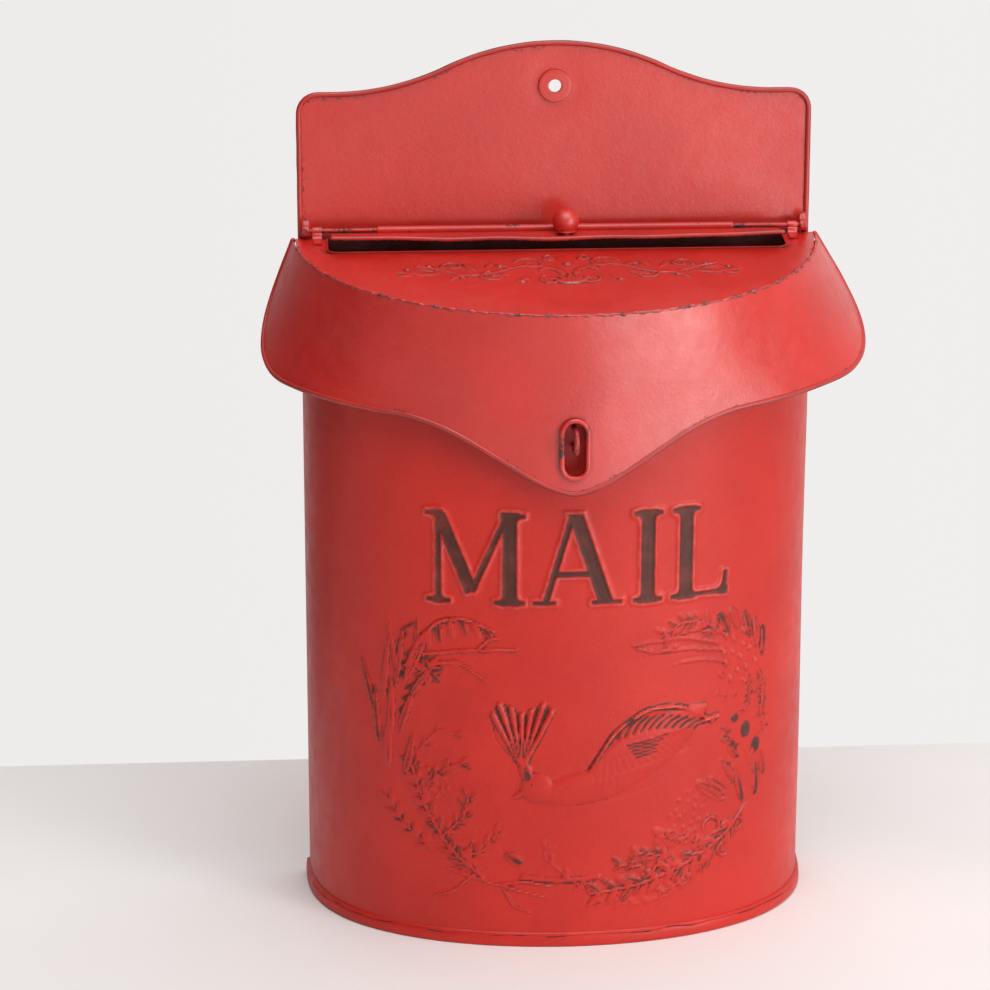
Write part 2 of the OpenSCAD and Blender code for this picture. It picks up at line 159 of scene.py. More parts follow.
def facing(verts, sides, towards):
    """How far every vertex of a tube faces a direction, 0 to 1; towards is one, or one per ring."""
    ring = verts.reshape(-1, sides, 3)
    out = unit(ring - ring.mean(1, keepdims=True))
    towards = np.broadcast_to(np.asarray(towards, float), (len(ring), 3))
    return np.clip((out * unit(towards)[:, None]).sum(-1), 0, 1).ravel()


def lathe(profile, centre, axis, sides=48, closed=False):
    """A profile of (radius, height) turned about an axis through centre."""
    axis = unit(np.asarray(axis, float))
    u = unit(np.cross(axis, (0.2, 0.9, 0.37)))
    v = np.cross(axis, u)
    ring = circle(sides)
    verts = [np.asarray(centre) + axis * h + r * (ring[:, :1] * u + ring[:, 1:] * v) for r, h in profile]
    n = len(profile)
    faces = quads(n, sides, wrap_m=True, wrap_n=closed)
    if not closed:
        faces += [list(range(sides))[::-1], list(range((n - 1) * sides, n * sides))]
    return np.vstack(verts), faces


def near(points, loops, closed=True):
    """Distance from each point to the nearest loop."""
    best = np.full(len(points), 1e9)
    for loop in loops:
        a = np.asarray(loop, float)
        d = np.roll(a, -1, 0) - a
        if not closed:
            a, d = a[:-1], d[:-1]
        for k in range(0, len(points), 4000):
            p = points[k:k + 4000, None] - a[None]
            t = np.clip((p * d).sum(-1) / np.maximum((d * d).sum(-1), 1e-12), 0, 1)
            r = np.linalg.norm(p - t[..., None] * d, axis=-1).min(1)
            best[k:k + 4000] = np.minimum(best[k:k + 4000], r)
    return best


def inside(points, loop):
    a = np.asarray(loop, float)
    b = np.roll(a, -1, 0)
    hit = np.zeros(len(points), bool)
    x, y = points[:, 0], points[:, 1]
    for (ax, ay), (bx, by) in zip(a, b):
        cross = (ay > y) != (by > y)
        hit ^= cross & (x < (bx - ax) * (y - ay) / (by - ay if by != ay else 1e-12) + ax)
    return hit


def lattice(loops, step, margin=None):
    """Regular points inside the first loop and outside the others, kept clear of them all."""
    low, high = np.min(loops[0], 0), np.max(loops[0], 0)
    x, y = np.meshgrid(*[np.arange(a + step / 2, b, step) for a, b in zip(low, high)])
    p = np.stack([x.ravel(), y.ravel()], 1)
    p = p[inside(p, loops[0])]
    for hole in loops[1:]:
        p = p[~inside(p, hole)]
    return p[near(p, loops) > (margin or step * 0.55)]


def fill(loops, inner):
    """Triangles between loops that use every inner point."""
    points = np.vstack([np.asarray(q, float) for q in loops] + [np.asarray(inner, float).reshape(-1, 2)])
    edges, start = [], 0
    for loop in loops:
        k = len(loop)
        edges += [(start + i, start + (i + 1) % k) for i in range(k)]
        start += k
    made = geometry.delaunay_2d_cdt([Vector(p) for p in points.tolist()], edges, [], 1, 1e-7)
    origin = np.array([o[0] for o in made[3]])
    tris = origin[np.array(made[2])]
    middle = points[tris].mean(1)
    keep = np.ones(len(tris), bool)
    for hole in loops[1:]:
        keep &= ~inside(middle, hole)
    return points, tris[keep].tolist(), edges


def sheet(loops, inner, top, bottom):
    """A closed sheet over a flat region: top and bottom turn flat points into the two faces."""
    flat, tris, edges = fill(loops, inner)
    n = len(flat)
    faces = tris + [[n + c, n + b, n + a] for a, b, c in tris] + [[a, b, n + b, n + a] for a, b in edges]
    return np.vstack([top(flat), bottom(flat)]), faces, flat


def ripple(x, y, size, seed, terms=10):
    """Smooth noise of about -1 to 1 with features of the given size."""
    rng = np.random.default_rng(seed)
    out = np.zeros(np.broadcast(x, y).shape)
    for _ in range(terms):
        a, f, p = rng.uniform(0, 2 * np.pi), rng.uniform(0.6, 1.7) / size, rng.uniform(0, 2 * np.pi)
        out += np.sin(2 * np.pi * f * (x * np.cos(a) + y * np.sin(a)) + p)
    return out / math.sqrt(terms) * 0.8


def smooth(x, low, high):
    t = np.clip((x - low) / (high - low), 0, 1)
    return t * t * (3 - 2 * t)


def arc(cx, cy, r, a0, a1, n):
    a = np.radians(np.linspace(a0, a1, n))
    return np.stack([cx + r * np.cos(a), cy + r * np.sin(a)], 1)


# ---------------------------------------------------------------- the D-shaped plans
def plan_table(a, d, m):
    """Points of a D outline from the left rear to the right rear, by arc length u from the middle."""
    t = np.linspace(0, np.pi, 8001)
    x, y = -a * np.cos(t), -d * np.abs(np.sin(t)) ** (2 / m)
    y[0] = y[-1] = 0
    s = np.concatenate([[0], np.cumsum(np.hypot(np.diff(x), np.diff(y)))])
    u = s - s[-1] / 2
    tx, ty = np.gradient(x, u), np.gradient(y, u)
    length = np.hypot(tx, ty)
    return u, x, y, ty / length, -tx / length


def on_plan(table, u):
    """x, y and the outward direction of a D outline at arc length u."""
    x, y, nx, ny = (np.interp(u, table[0], c) for c in table[1:])
    length = np.hypot(nx, ny)
    return x, y, nx / length, ny / length


BODY_PLAN = plan_table(BODY_A, BODY_D, BODY_M)
LID_PLAN = plan_table(LID_A, LID_D, LID_M)


# ---------------------------------------------------------------- materials
def srgb(code):
    c = np.array([int(code[i:i + 2], 16) for i in (0, 2, 4)]) / 255
    return (*np.where(c <= 0.04045, c / 12.92, ((c + 0.055) / 1.055) ** 2.4).tolist(), 1.0)


class Nodes:
    """Short names for the nodes that the paints are made of."""

    def __init__(self, name):
        self.mat = bpy.data.materials.new(name)
        self.mat.use_nodes = True
        self.tree = self.mat.node_tree
        self.shader = self.tree.nodes["Principled BSDF"]
        self.place = self.add("ShaderNodeTexCoord").outputs["Object"]

    def add(self, kind, inputs=None, **settings):
        node = self.tree.nodes.new(kind)
        for key, value in settings.items():
            setattr(node, key, value)
        for key, value in (inputs or {}).items():
            if isinstance(value, bpy.types.NodeSocket):
                self.tree.links.new(value, node.inputs[key])
            else:
                node.inputs[key].default_value = value
        return node

    def noise(self, scale, detail=2.0, rough=0.5, stretch=None, warp=0.0):
        vector = self.place
        if stretch:
            vector = self.add("ShaderNodeMapping", {"Vector": vector, "Scale": stretch}).outputs[0]
        return self.add("ShaderNodeTexNoise", {"Vector": vector, "Scale": scale, "Detail": detail,
                                               "Roughness": rough, "Distortion": warp}).outputs["Fac"]

    def math(self, op, a, b=0.0, clamp=False):
        return self.add("ShaderNodeMath", {0: a, 1: b}, operation=op, use_clamp=clamp).outputs[0]

    def step(self, value, low, high, out_low=0.0, out_high=1.0):
        return self.add("ShaderNodeMapRange", {"Value": value, "From Min": low, "From Max": high,
                                               "To Min": out_low, "To Max": out_high},
                        interpolation_type="SMOOTHSTEP").outputs[0]

    def mix(self, factor, a, b):
        return self.add("ShaderNodeMixRGB", {"Fac": factor, "Color1": a, "Color2": b}).outputs[0]

    def attribute(self, name):
        return self.add("ShaderNodeAttribute", attribute_name=name).outputs["Fac"]


CHIPPED, WAX, THICK_WAX, PALE_RUB_AND_HIGHLIGHT, UNLIT = "4a1410", "4c1a10", "70291c", "ee8f86", "430e0a"


def paint(name, light, dark, rough, grain=0.5, spots=0.0, shine=0.8):
    """Hand-rubbed satin paint: mottled, faintly grainy with painted glints, chipped at edges, brown in the hollows,
    with painted shade and painted highlights.
    """
    n = Nodes(name)
    cloud = n.noise(22, 4, 0.55)
    fine = n.noise(620, 3, 0.6)
    dust_and_glint = n.noise(1700, 2, 0.6)
    colour = n.mix(n.step(cloud, 0.3, 0.7), srgb(dark), srgb(light))
    # painted glints: a fine pale pink speckle standing in for sparkle in the sheen, partly dust
    colour = n.mix(n.step(dust_and_glint, 0.58, 0.8, 0, 0.14), colour, srgb("f39086"))
    colour = n.mix(n.step(fine, 0.60, 0.74, 0, 0.10), colour, srgb(CHIPPED))
    # worn, paler paint on the crests, partly a painted highlight
    rub_and_highlight = n.math("MULTIPLY", n.attribute("rub_and_highlight"), n.step(n.noise(240, 3, 0.6), 0.25, 0.7, 0.25, 1))
    colour = n.mix(n.step(rub_and_highlight, 0.1, 0.9, 0, 0.5), colour, srgb(PALE_RUB_AND_HIGHLIGHT))
    # brown wax brushed into the hollows and over the letters; the dark round the raised shapes is partly painted
    # shade
    streak = n.noise(240, 3, 0.55, stretch=(0.6, 1, 1.3))
    brown = n.math("MULTIPLY", n.attribute("patina"), n.step(streak, 0.25, 0.65, 0.7, 1.12))
    brown_amount = n.step(brown, 0.2, 0.7)
    brown_colour = n.mix(n.step(n.noise(120, 3, 0.6), 0.4, 0.75), srgb(WAX), srgb(THICK_WAX))
    colour = n.mix(brown_amount, colour, brown_colour)
    # painted shade: faces marked inner (insides, undersides and the shaded sides of wires) are painted dark
    colour = n.mix(n.attribute("inner"), colour, srgb(UNLIT))
    # fine chips and rubbed-through lines along the edges, and dark lines painted as shade on the shaded sides of the
    # wires
    wear = n.attribute("wear")
    edge = n.math("MULTIPLY", wear, n.step(n.noise(640, 4, 0.65, warp=0.3), 0.32, 0.68, 0.2, 1.4))
    edge = n.math("MULTIPLY", edge, n.step(n.noise(50, 3, 0.6), 0.35, 0.62, 0.6, 1.1))
    edge_amount = n.step(edge, 0.40, 0.68)
    colour = n.mix(edge_amount, colour, srgb(CHIPPED))
    if spots:
        scuff = n.step(n.noise(150, 6, 0.75, warp=1.0), 0.68, 0.74, 0, spots)
        colour = n.mix(scuff, colour, srgb(CHIPPED))
    n.tree.links.new(colour, n.shader.inputs["Base Color"])
    roughness = n.step(n.noise(140, 3, 0.6), 0.25, 0.75, rough - 0.05, rough + 0.06)
    matt = n.math("MULTIPLY", n.math("ADD", brown_amount, edge_amount), 0.12)
    roughness = n.math("ADD", roughness, matt, clamp=True)
    n.tree.links.new(roughness, n.shader.inputs["Roughness"])
    n.shader.inputs["Specular IOR Level"].default_value = shine
    height = n.math("ADD", n.math("MULTIPLY", fine, 0.6), n.math("MULTIPLY", n.noise(150, 2, 0.5), 1.0))
    height = n.math("ADD", height, n.math("MULTIPLY", dust_and_glint, 0.45))
    height = n.math("SUBTRACT", height, n.math("MULTIPLY", edge_amount, 0.4))
    bump = n.add("ShaderNodeBump", {"Height": height, "Strength": grain, "Distance": 0.00020})
    n.tree.links.new(bump.outputs[0], n.shader.inputs["Normal"])
    return n.mat


# the body's red is a little darker than the panel's and the lid's, as painted shade
BODY = paint("body_red_paint", "c92215", "bc1c11", 0.42, shine=0.45)
PANEL = paint("panel_red_paint", "cd2418", "c21f14", 0.36, shine=1.0)
LID = paint("lid_red_paint", "cb2117", "be1b12", 0.33, shine=1.0)
WIRE = paint("edge_red_paint", "bd2018", "a41a13", 0.40, grain=0.8, spots=0.2)
FLAP = paint("flap_red_paint", "cc241c", "b91d16", 0.40)
KNOB = paint("knob_red_paint", "cf261d", "bd1e17", 0.42, grain=0.25, shine=1.0)


# ---------------------------------------------------------------- height maps
class Relief:
    """A height map in millimetres on a regular grid, drawn with round-edged shapes."""

    def __init__(self, x, y):
        self.x, self.y, self.step = x, y, x[1] - x[0]
        self.h = np.zeros((len(self.y), len(self.x)))
        self.dark, self.cut = np.zeros_like(self.h), np.zeros_like(self.h)

    def window(self, x0, x1, y0, y1):
        i0, i1 = np.searchsorted(self.x, (x0, x1))
        j0, j1 = np.searchsorted(self.y, (y0, y1))
        where = (slice(j0, j1), slice(i0, i1))
        return where, *np.meshgrid(self.x[i0:i1], self.y[j0:j1])

    def put(self, where, height, dark=0.0):
        over = height > self.h[where]
        self.h[where] = np.where(over, height, self.h[where])
        self.dark[where] = np.where(over & (height > 0.05), dark, self.dark[where])

    def turned(self, centre, reach, angle):
        """The window round a centre, with coordinates along and across an angle in degrees."""
        where, x, y = self.window(centre[0] - reach, centre[0] + reach, centre[1] - reach, centre[1] + reach)
        c, s = math.cos(math.radians(angle)), math.sin(math.radians(angle))
        x, y = x - centre[0], y - centre[1]
        return where, x * c + y * s, y * c - x * s

    def segment(self, p, q, margin):
        """The window round a segment, with the distance of its points from the segment."""
        low, high = np.minimum(p, q) - margin, np.maximum(p, q) + margin
        where, x, y = self.window(low[0], high[0], low[1], high[1])
        d = q - p
        t = np.clip(((x - p[0]) * d[0] + (y - p[1]) * d[1]) / max(d @ d, 1e-9), 0, 1)
        return where, np.hypot(x - p[0] - t * d[0], y - p[1] - t * d[1])

    def blade(self, base, angle, length, width, height, bend=0.0, vein=0.35, dark=0.0, outline=False):
        """A leaf or feather from base along angle (degrees), curving by bend at its tip."""
        where, a, b = self.turned(base, length * (1.05 + abs(bend)) + width, angle)
        t = np.clip(a / length, 1e-4, 1 - 1e-4)
        b = b - bend * length * t * t
        half = width / 2 * (4 * t * (1 - t)) ** 0.7 * (1.2 - 0.4 * t)
        r = np.abs(b) / np.maximum(half, 1e-3)
        on = (a > 0) & (a < length) & (r < 1.5)
        if outline:
            rim = np.exp(-((np.abs(b) - half) / 0.42) ** 2) + 0.8 * np.exp(-(b / 0.38) ** 2) * (r < 1)
            self.put(where, np.where(on, height * np.clip(rim, 0, 1) * np.minimum(1, half), 0))
            return
        dome = np.sqrt(np.clip(1 - r * r, 0, 1)) * (1 - vein * np.exp(-(b / 0.4) ** 2))
        hollow = dark * (np.exp(-(b / (0.22 * width)) ** 2) * (1 - t * 0.6) + 0.25)
        self.put(where, np.where(on & (r < 1), height * dome, 0), np.clip(hollow, 0, 1))

    def line(self, points, r0, r1, height, dark=0.0):
        """A rounded ridge along points, its half width going from r0 to r1."""
        points = np.asarray(points, float)
        radii = np.linspace(r0, r1, len(points))
        for p, q, r in zip(points[:-1], points[1:], radii):
            where, gap = self.segment(p, q, r + 0.1)
            self.put(where, height * np.sqrt(np.clip(1 - (gap / r) ** 2, 0, 1)), dark)

    def groove(self, points, r, depth, dark=0.9):
        """A fine cut along points, filled with wax."""
        points = np.asarray(points, float)
        for p, q in zip(points[:-1], points[1:]):
            where, gap = self.segment(p, q, 2.5 * r)
            cut = np.exp(-(gap / r) ** 2)
            self.cut[where] = np.maximum(self.cut[where], cut * depth)
            self.dark[where] = np.maximum(self.dark[where], cut * dark)

    def dome(self, centre, rx, ry, height, angle=0.0, dark=0.0):
        where, a, b = self.turned(centre, max(rx, ry), angle)
        self.put(where, height * np.sqrt(np.clip(1 - (a / rx) ** 2 - (b / ry) ** 2, 0, 1)), dark)

    def blurred(self, size):
        reach = int(3 * size / self.step)
        k = np.exp(-0.5 * (np.arange(-reach, reach + 1) * self.step / size) ** 2)
        k /= k.sum()
        out = np.apply_along_axis(lambda r: np.convolve(r, k, "same"), 1, self.h)
        return np.apply_along_axis(lambda r: np.convolve(r, k, "same"), 0, out)

    def masks(self, hollow, crest, size):
        """Where brown wax and painted shade go in the hollows, and where the crests get rubbed paint and a painted
        highlight.
        """
        edge = self.blurred(size) - self.h
        return np.clip(edge * hollow, 0, 1), np.clip(-edge * crest, 0, 1)


# ---- the word on the front: straight strokes with bracketed serifs
def rectangle(a, b, half_a, half_b):
    """Distance to a rectangle round the origin, negative inside."""
    da, db = np.abs(a) - half_a, np.abs(b) - half_b
    return np.hypot(np.maximum(da, 0), np.maximum(db, 0)) + np.minimum(np.maximum(da, db), 0)


def letters(x, y, cap):
    """Distance to plain serif capitals that stand on y = 0, negative inside."""
    thick, thin, serif = 6.0, 2.6, 0.9

    def box(cx, cy, hw, hh):
        return rectangle(x - cx, y - cy, hw, hh)

    def bar(x0, y0, x1, y1, w):
        length = math.hypot(x1 - x0, y1 - y0)
        c, s = (x1 - x0) / length, (y1 - y0) / length
        dx, dy = x - (x0 + x1) / 2, y - (y0 + y1) / 2
        return rectangle(dx * c + dy * s, dy * c - dx * s, length / 2, w / 2)

    def join(a, b, k=2.6):
        h = np.clip(0.5 + 0.5 * (b - a) / k, 0, 1)
        return b + (a - b) * h - k * h * (1 - h)

    def foot(cx, cy, hw):
        return box(cx, cy, hw, serif)

    def stem(cx, width, low, high):
        """An upright stroke; low and high are the place and half width of its serifs."""
        upright = box(cx, cap / 2, width / 2, cap / 2)
        return join(join(upright, foot(low[0], serif, low[1])), foot(high[0], cap - serif, high[1]))

    def trimmed(d):
        return np.maximum(d, np.abs(y - cap / 2) - cap / 2)

    vee = np.minimum(bar(-54.5, cap - 1.5, -41.0, 5.0, thick * 0.9), bar(-41.0, 5.0, -27.0, cap - 1.5, thin))
    slope = np.minimum(bar(-11.2, 0, 0.4, cap + 1.2, thin), bar(0.2, cap + 2.6, 14.0, 0, thick))
    return np.minimum.reduce([
        # M
        stem(-55.0, thin, (-55.0, 5.2), (-57.0, 3.6)),
        stem(-25.5, thick, (-25.5, 6.4), (-23.8, 4.8)), trimmed(vee),
        # A
        trimmed(slope), box(0.5, cap * 0.34, 8.0, 1.2), foot(-11.4, serif, 4.8), foot(14.2, serif, 6.4),
        # I
        stem(31.2, thick, (31.2, 6.2), (31.2, 6.2)),
        # L
        stem(47.8, thick, (47.2, 6.2), (47.8, 6.2)),
        join(box(56.5, 1.0, 10.0, 1.0), bar(65.4, 0.4, 66.4, 9.6, 2.2), 3.5)])


def course(points, count):
    """A smooth curve through a few points."""
    p = np.asarray(points, float)
    s = np.concatenate([[0], np.cumsum(np.linalg.norm(np.diff(p, axis=0), axis=1))])
    q = np.linspace(0, s[-1], count)
    out = np.stack([np.interp(q, s, c) for c in p.T], 1)
    for _ in range(max(2, count // 6)):
        out[1:-1] = (out[:-2] + 2 * out[1:-1] + out[2:]) / 4
    return out


def twig(relief, rng, points, leaf, width, count, dark, height, lean, outline=False, stem=0.5):
    """A thin curved stem with small leaves; dark is how much wax the leaves hold."""
    p = course(points, 36)
    relief.line(p, stem, stem * 0.7, height)
    for k in np.linspace(4, 33, count).astype(int):
        d = p[k + 1] - p[k - 1]
        a = math.degrees(math.atan2(d[1], d[0]))
        for side in (-1, 1):
            size = leaf * rng.uniform(0.75, 1.15)
            relief.blade(p[k], a + side * (lean + rng.uniform(-10, 10)), size, width * rng.uniform(0.8, 1.15),
                         height, bend=-side * rng.uniform(0.08, 0.22), vein=0.5,
                         dark=min(1, dark * rng.uniform(0.1, 2.0)), outline=outline)


def dots(relief, rng, low, high, count, size, height, dark):
    """Small berries scattered evenly in an oval."""
    mid, half = (np.add(low, high)) / 2, np.subtract(high, low) / 2
    for k in range(count):
        d, a = math.sqrt((k + 0.5) / count), 2.4 * k
        p = mid + half * d * (math.cos(a), math.sin(a)) + rng.uniform(-0.5, 0.5, 2)
        relief.dome(p, size * rng.uniform(0.8, 1.15), size * rng.uniform(1.0, 1.5), height,
                    angle=rng.uniform(-30, 60), dark=dark)


def front_relief():
    """Letters, an airy wreath of mixed plants and a bird, on (u, z) of the body's front."""
    rows = np.concatenate([np.arange(10, 143.4, 0.78), np.arange(143.5, 191.5, 0.5)])
    r = Relief(np.arange(-100, 101.5, 0.68), rows)
    rng = np.random.default_rng(11)

    def q(*points):
        """(x, z) as seen from the front, laid round the body."""
        p = np.array(points, float).reshape(-1, 2)
        return np.stack([np.interp(p[:, 0], BODY_PLAN[1], BODY_PLAN[0]), p[:, 1]], 1)

    def at(x, z):
        return q((x, z))[0]

    def grow(points, *more, **options):
        twig(r, rng, q(*points), *more, **options)

    def scratch(points, count, *more):
        r.groove(course(q(*points), count), *more)

    def cracked(points, count, r0, r1, height, gap, half, depth, dark):
        """A fine ridge with a waxed cut below it; the dark cut under the ridge is partly a painted shadow."""
        p = course(q(*points), count)
        r.line(p, r0, r1, height)
        r.groove(p - (0, gap), half, depth, dark)

    # right: a dark tuft of drops, a small comb and fine lines that reach inwards
    grow(((66, 130), (56, 138), (46, 139), (38, 134)), 6.0, 2.2, 8, 0.7, 0.6, 60)
    tuft = (62, 141, -58, 12), (67, 142, -60, 11), (73, 140, -68, 14), (78, 136, -76, 15), (82, 131, -84, 14)
    for k, (x, z, a, n) in enumerate(tuft):
        r.blade(at(x, z), a, n, 3.6, 0.85, bend=-0.1, vein=0.5, dark=(1.0, 0.5, 1.0, 0.6, 1.0)[k])
    dots(r, rng, at(62, 106), at(79, 133), 15, 1.25, 0.8, 0.15)
    for line, w in ((((62, 128), (46, 132.5), (25, 131)), 0.75), (((66, 124), (48, 127.5), (30, 126.5)), 0.6),
                    (((27, 129.5), (34, 127), (44, 128.5)), 0.5), (((66, 119), (54, 122), (43, 121)), 0.55),
                    (((60, 133), (52, 135), (44, 133.5)), 0.5)):
        p = course(q(*line), 22)
        r.line(p, w, w * 0.6, 0.6)
        # a dark waxed cut under each line, partly a painted shadow
        r.groove(p[2:-3] - (0, w + 0.35), 0.35, 0.1, 0.55)
    # right side: laddered stem, seed heads and dark narrow leaves
    grow(((80, 113), (83, 103), (82, 93), (84, 84)), 4.4, 1.5, 8, 0.9, 0.6, 78, stem=0.7)
    grow(((75, 112), (77, 103), (74, 95)), 4.0, 1.5, 5, 0.9, 0.55, 70)
    grow(((72, 104), (66, 104), (62, 106)), 3.0, 1.3, 3, 0.6, 0.5, 50)
    for x, z, rx, rz in ((75, 87, 2.6, 3.6), (80, 79, 2.4, 3.2), (70, 93, 1.8, 1.8)):
        r.dome(at(x, z), rx, rz, 0.7, dark=0.95)
    narrow = ((80, 56, 84, 15, 4.2, 1.0), (74, 55, 98, 17, 4.0, 0.8), (84, 64, 96, 12, 3.4, 0.7),
              (70, 66, 118, 10, 3.0, 0.3), (72, 75, 128, 9, 2.8, 0.9), (77, 70, 70, 9, 2.6, 0.5),
              (70, 82, 150, 8, 2.4, 0.9))
    for x, z, a, n, w, dark in narrow:
        r.blade(at(x, z), a, n, w, 0.75, bend=0.12, vein=0.6, dark=dark)
    for a, n in ((158, 19), (142, 15)):
        r.blade(at(68, 59), a, n, 5.2, 0.65, bend=-0.12, outline=True)
    for k in range(9):
        x, z = 64 + 1.6 * (k % 4), 90 - 3.6 * k
        r.line(q((x, z), (x + 3.0, z + 1.8 * (1 if k % 2 else -1))), 0.5, 0.35, 0.5, 0.7)
    dots(r, rng, at(41, 44), at(60, 64), 20, 0.75, 0.6, 0.35)
    # lower right: a leafy branch with curls and broken dark lines
    main = (76, 54), (66, 42), (50, 33), (30, 26), (8, 23)
    grow(main, 8.0, 3.0, 12, 0.7, 0.7, 48, stem=0.75)
    grow(((58, 38), (50, 44), (38, 46)), 6.0, 2.6, 4, 0.2, 0.6, 40, outline=True)
    grow(((45, 31), (38, 38), (27, 40)), 5.5, 2.4, 5, 0.9, 0.65, 50)
    grow(((36, 27), (30, 34), (20, 35)), 5.0, 2.2, 4, 1.0, 0.65, 50)
    grow(((62, 36), (52, 27), (38, 21)), 5.0, 2.2, 6, 0.5, 0.55, 46)
    grow(((44, 20), (28, 17), (12, 19)), 5.0, 1.8, 5, 0.3, 0.4, 40)
    for x, z, rad, a0, a1 in ((60, 47, 4.2, -30, 190), (66, 36, 3.0, 120, 330), (54, 34, 2.8, -60, 150),
                              (38, 31, 3.0, 20, 230), (48, 26, 2.6, 150, 400), (72, 46, 2.8, -80, 120)):
        r.line(arc(*at(x, z), rad, a0, a1, 16), 0.7, 0.45, 0.7)
        r.groove(arc(*at(x, z), rad - 1.1, a0 + 10, a1 - 20, 14), 0.45, 0.15, 0.85)
    # bottom: a bare stem, a dark leaf and a forked twig
    r.line(course(q((-20, 31), (-6, 29.5), (12, 30.5)), 20), 1.1, 0.8, 0.65)
    scratch(((-16, 28.7), (-4, 27.8), (10, 28.6)), 20, 0.6, 0.15, 0.8)
    r.blade(at(-20, 37), 150, 9, 5.0, 0.7, dark=1.0)
    grow(((8, 24), (-4, 33), (-12, 41), (-9, 45)), 4.5, 2.0, 4, 0.4, 0.5, 60)
    for line in (((-50, 33), (-30, 27), (-10, 22)), ((-36, 29), (-42, 40), (-40, 47)),
                 ((-28, 26), (-24, 18), (-16, 15)), ((-40, 31), (-48, 23), (-56, 20)),
                 ((-30, 27), (-20, 29), (-8, 27))):
        cracked(line, 24, 0.65, 0.4, 0.6, 0.95, 0.4, 0.12, 0.6)
    # lower left: berries and loose sprigs
    grow(((-36, 30), (-50, 42), (-60, 60), (-66, 80)), 7.0, 2.6, 10, 0.7, 0.65, 48, stem=0.7)
    grow(((-52, 48), (-44, 56), (-42, 66)), 5.5, 2.2, 5, 0.8, 0.6, 48)
    grow(((-46, 38), (-36, 42), (-30, 50)), 5.5, 2.4, 4, 0.4, 0.6, 48)
    grow(((-58, 70), (-50, 78), (-44, 80)), 6.0, 2.4, 3, 0.6, 0.6, 40)
    grow(((-62, 84), (-54, 94), (-46, 92)), 5.0, 2.0, 3, 0.6, 0.5, 46)
    grow(((-56, 40), (-68, 50), (-74, 60)), 7.0, 2.8, 5, 0.4, 0.6, 44)
    dots(r, rng, at(-64, 62), at(-50, 79), 15, 0.95, 0.6, 0.25)
    # left side: long blades and a spiky bush
    bush = ((-78, 84, 98, 26, 3.4), (-74, 86, 84, 28, 3.8), (-70, 90, 74, 22, 3.4), (-80, 98, 104, 24, 3.0),
            (-76, 104, 88, 28, 2.8), (-72, 108, 78, 30, 2.6), (-68, 112, 68, 28, 2.6), (-71, 116, 96, 26, 2.2),
            (-66, 106, 58, 22, 2.8), (-64, 120, 82, 22, 2.2), (-74, 74, 96, 20, 4.2), (-68, 72, 74, 20, 3.6))
    for k, (x, z, a, n, w) in enumerate(bush):
        r.blade(at(x, z), a, n, w, 0.8, bend=0.06 * (1 if k % 2 else -1), vein=0.6,
                dark=(0.9, 0.2, 0.6)[k % 3], outline=k == 6)
    for k in range(8):
        low, high = (-70 + 1.4 * (k % 3), 100 + 5 * k), (-66 + 1.8 * (k % 3), 103.5 + 5 * k)
        r.line(q(low, high), 0.5, 0.35, 0.6, 0.8)
    # top left: a comb of hanging leaves, a small flower and bare twigs
    arch = course(q((-67, 120), (-62, 132), (-54, 141), (-44, 143), (-32, 138)), 40)
    r.line(arch, 0.85, 0.5, 0.75)
    for k in range(8, 39, 4):
        r.blade(arch[k], -92 + 3 * (k - 20) * 0.6, 11 - 0.1 * k, 2.8, 0.7, bend=0.12, vein=0.5,
                dark=(0.3, 1.0)[k // 4 % 2])
    for k in range(7):
        r.blade(at(-58, 119), 51.4 * k + 8, 7.0, 3.2, 0.8, vein=0.6, dark=(1.0, 0.3)[k % 2])
    for line in (((-60, 126), (-44, 129), (-22, 130.5)), ((-58, 122), (-46, 124), (-35, 116.5)),
                 ((-38, 130), (-34, 134), (-30, 135))):
        cracked(line, 24, 0.7, 0.45, 0.65, 1.0, 0.4, 0.12, 0.7)

    # the bird: a raised fan of a wing, a broad feathered wing and a soft body
    r.blade(at(5, 71), 27, 62, 21, 0.95, bend=0.05, vein=0.0)
    r.dome(at(8, 71), 22, 7.0, 1.0, angle=12)
    r.dome(at(-14, 70.5), 6.8, 6.4, 1.15)
    r.blade(at(-19, 69), 214, 6, 2.4, 0.7, vein=0.0)
    for k in range(13):
        f = k / 12
        a = math.radians(118 - 54 * f)
        foot = at(-20, 79)
        tip = foot + (26 + 3 * math.sin(9 * f)) * np.array([math.cos(a), math.sin(a)])
        if k % 2:
            r.groove(np.linspace(foot + 0.2 * (tip - foot), tip, 8), 0.8, 0.35, 0.95)
        else:
            r.line(np.linspace(foot, tip, 8), 0.7, 1.3, 0.95)
    r.groove(q((-33, 101), (-31, 92), (-24, 82), (-20, 79)), 0.45, 0.2, 0.8)
    r.blade(at(-17, 73), 108, 12, 5.4, 1.0, vein=0.3, dark=1.0)
    upper = course(q((8, 78), (18, 94), (32, 103), (46, 103), (60, 94)), 40)
    r.line(upper, 0.6, 0.8, 1.25)
    r.line(course(q((24, 88), (40, 92), (62, 96)), 30), 0.5, 1.0, 1.35)
    for k in range(11):
        f = k / 10
        x, z = 19 + 33 * f, 92.5 + 6.2 * math.sin(math.pi * (0.25 + 0.6 * f))
        scratch(((x, z - 6.0 + 3 * f), (x + 2.5, z - 1.5), (x + 6.5, z + 2.0 - 3 * f)), 8, 0.75, 0.35, 1.0)
    for k in range(5):
        scratch(((23 + k, 88 - 1.4 * k), (33 + k, 89.5 - 1.2 * k), (40 - 2 * k, 91.5 - 2 * k)), 10, 0.55, 0.25, 0.95)
    for k in range(9):
        f = k / 8
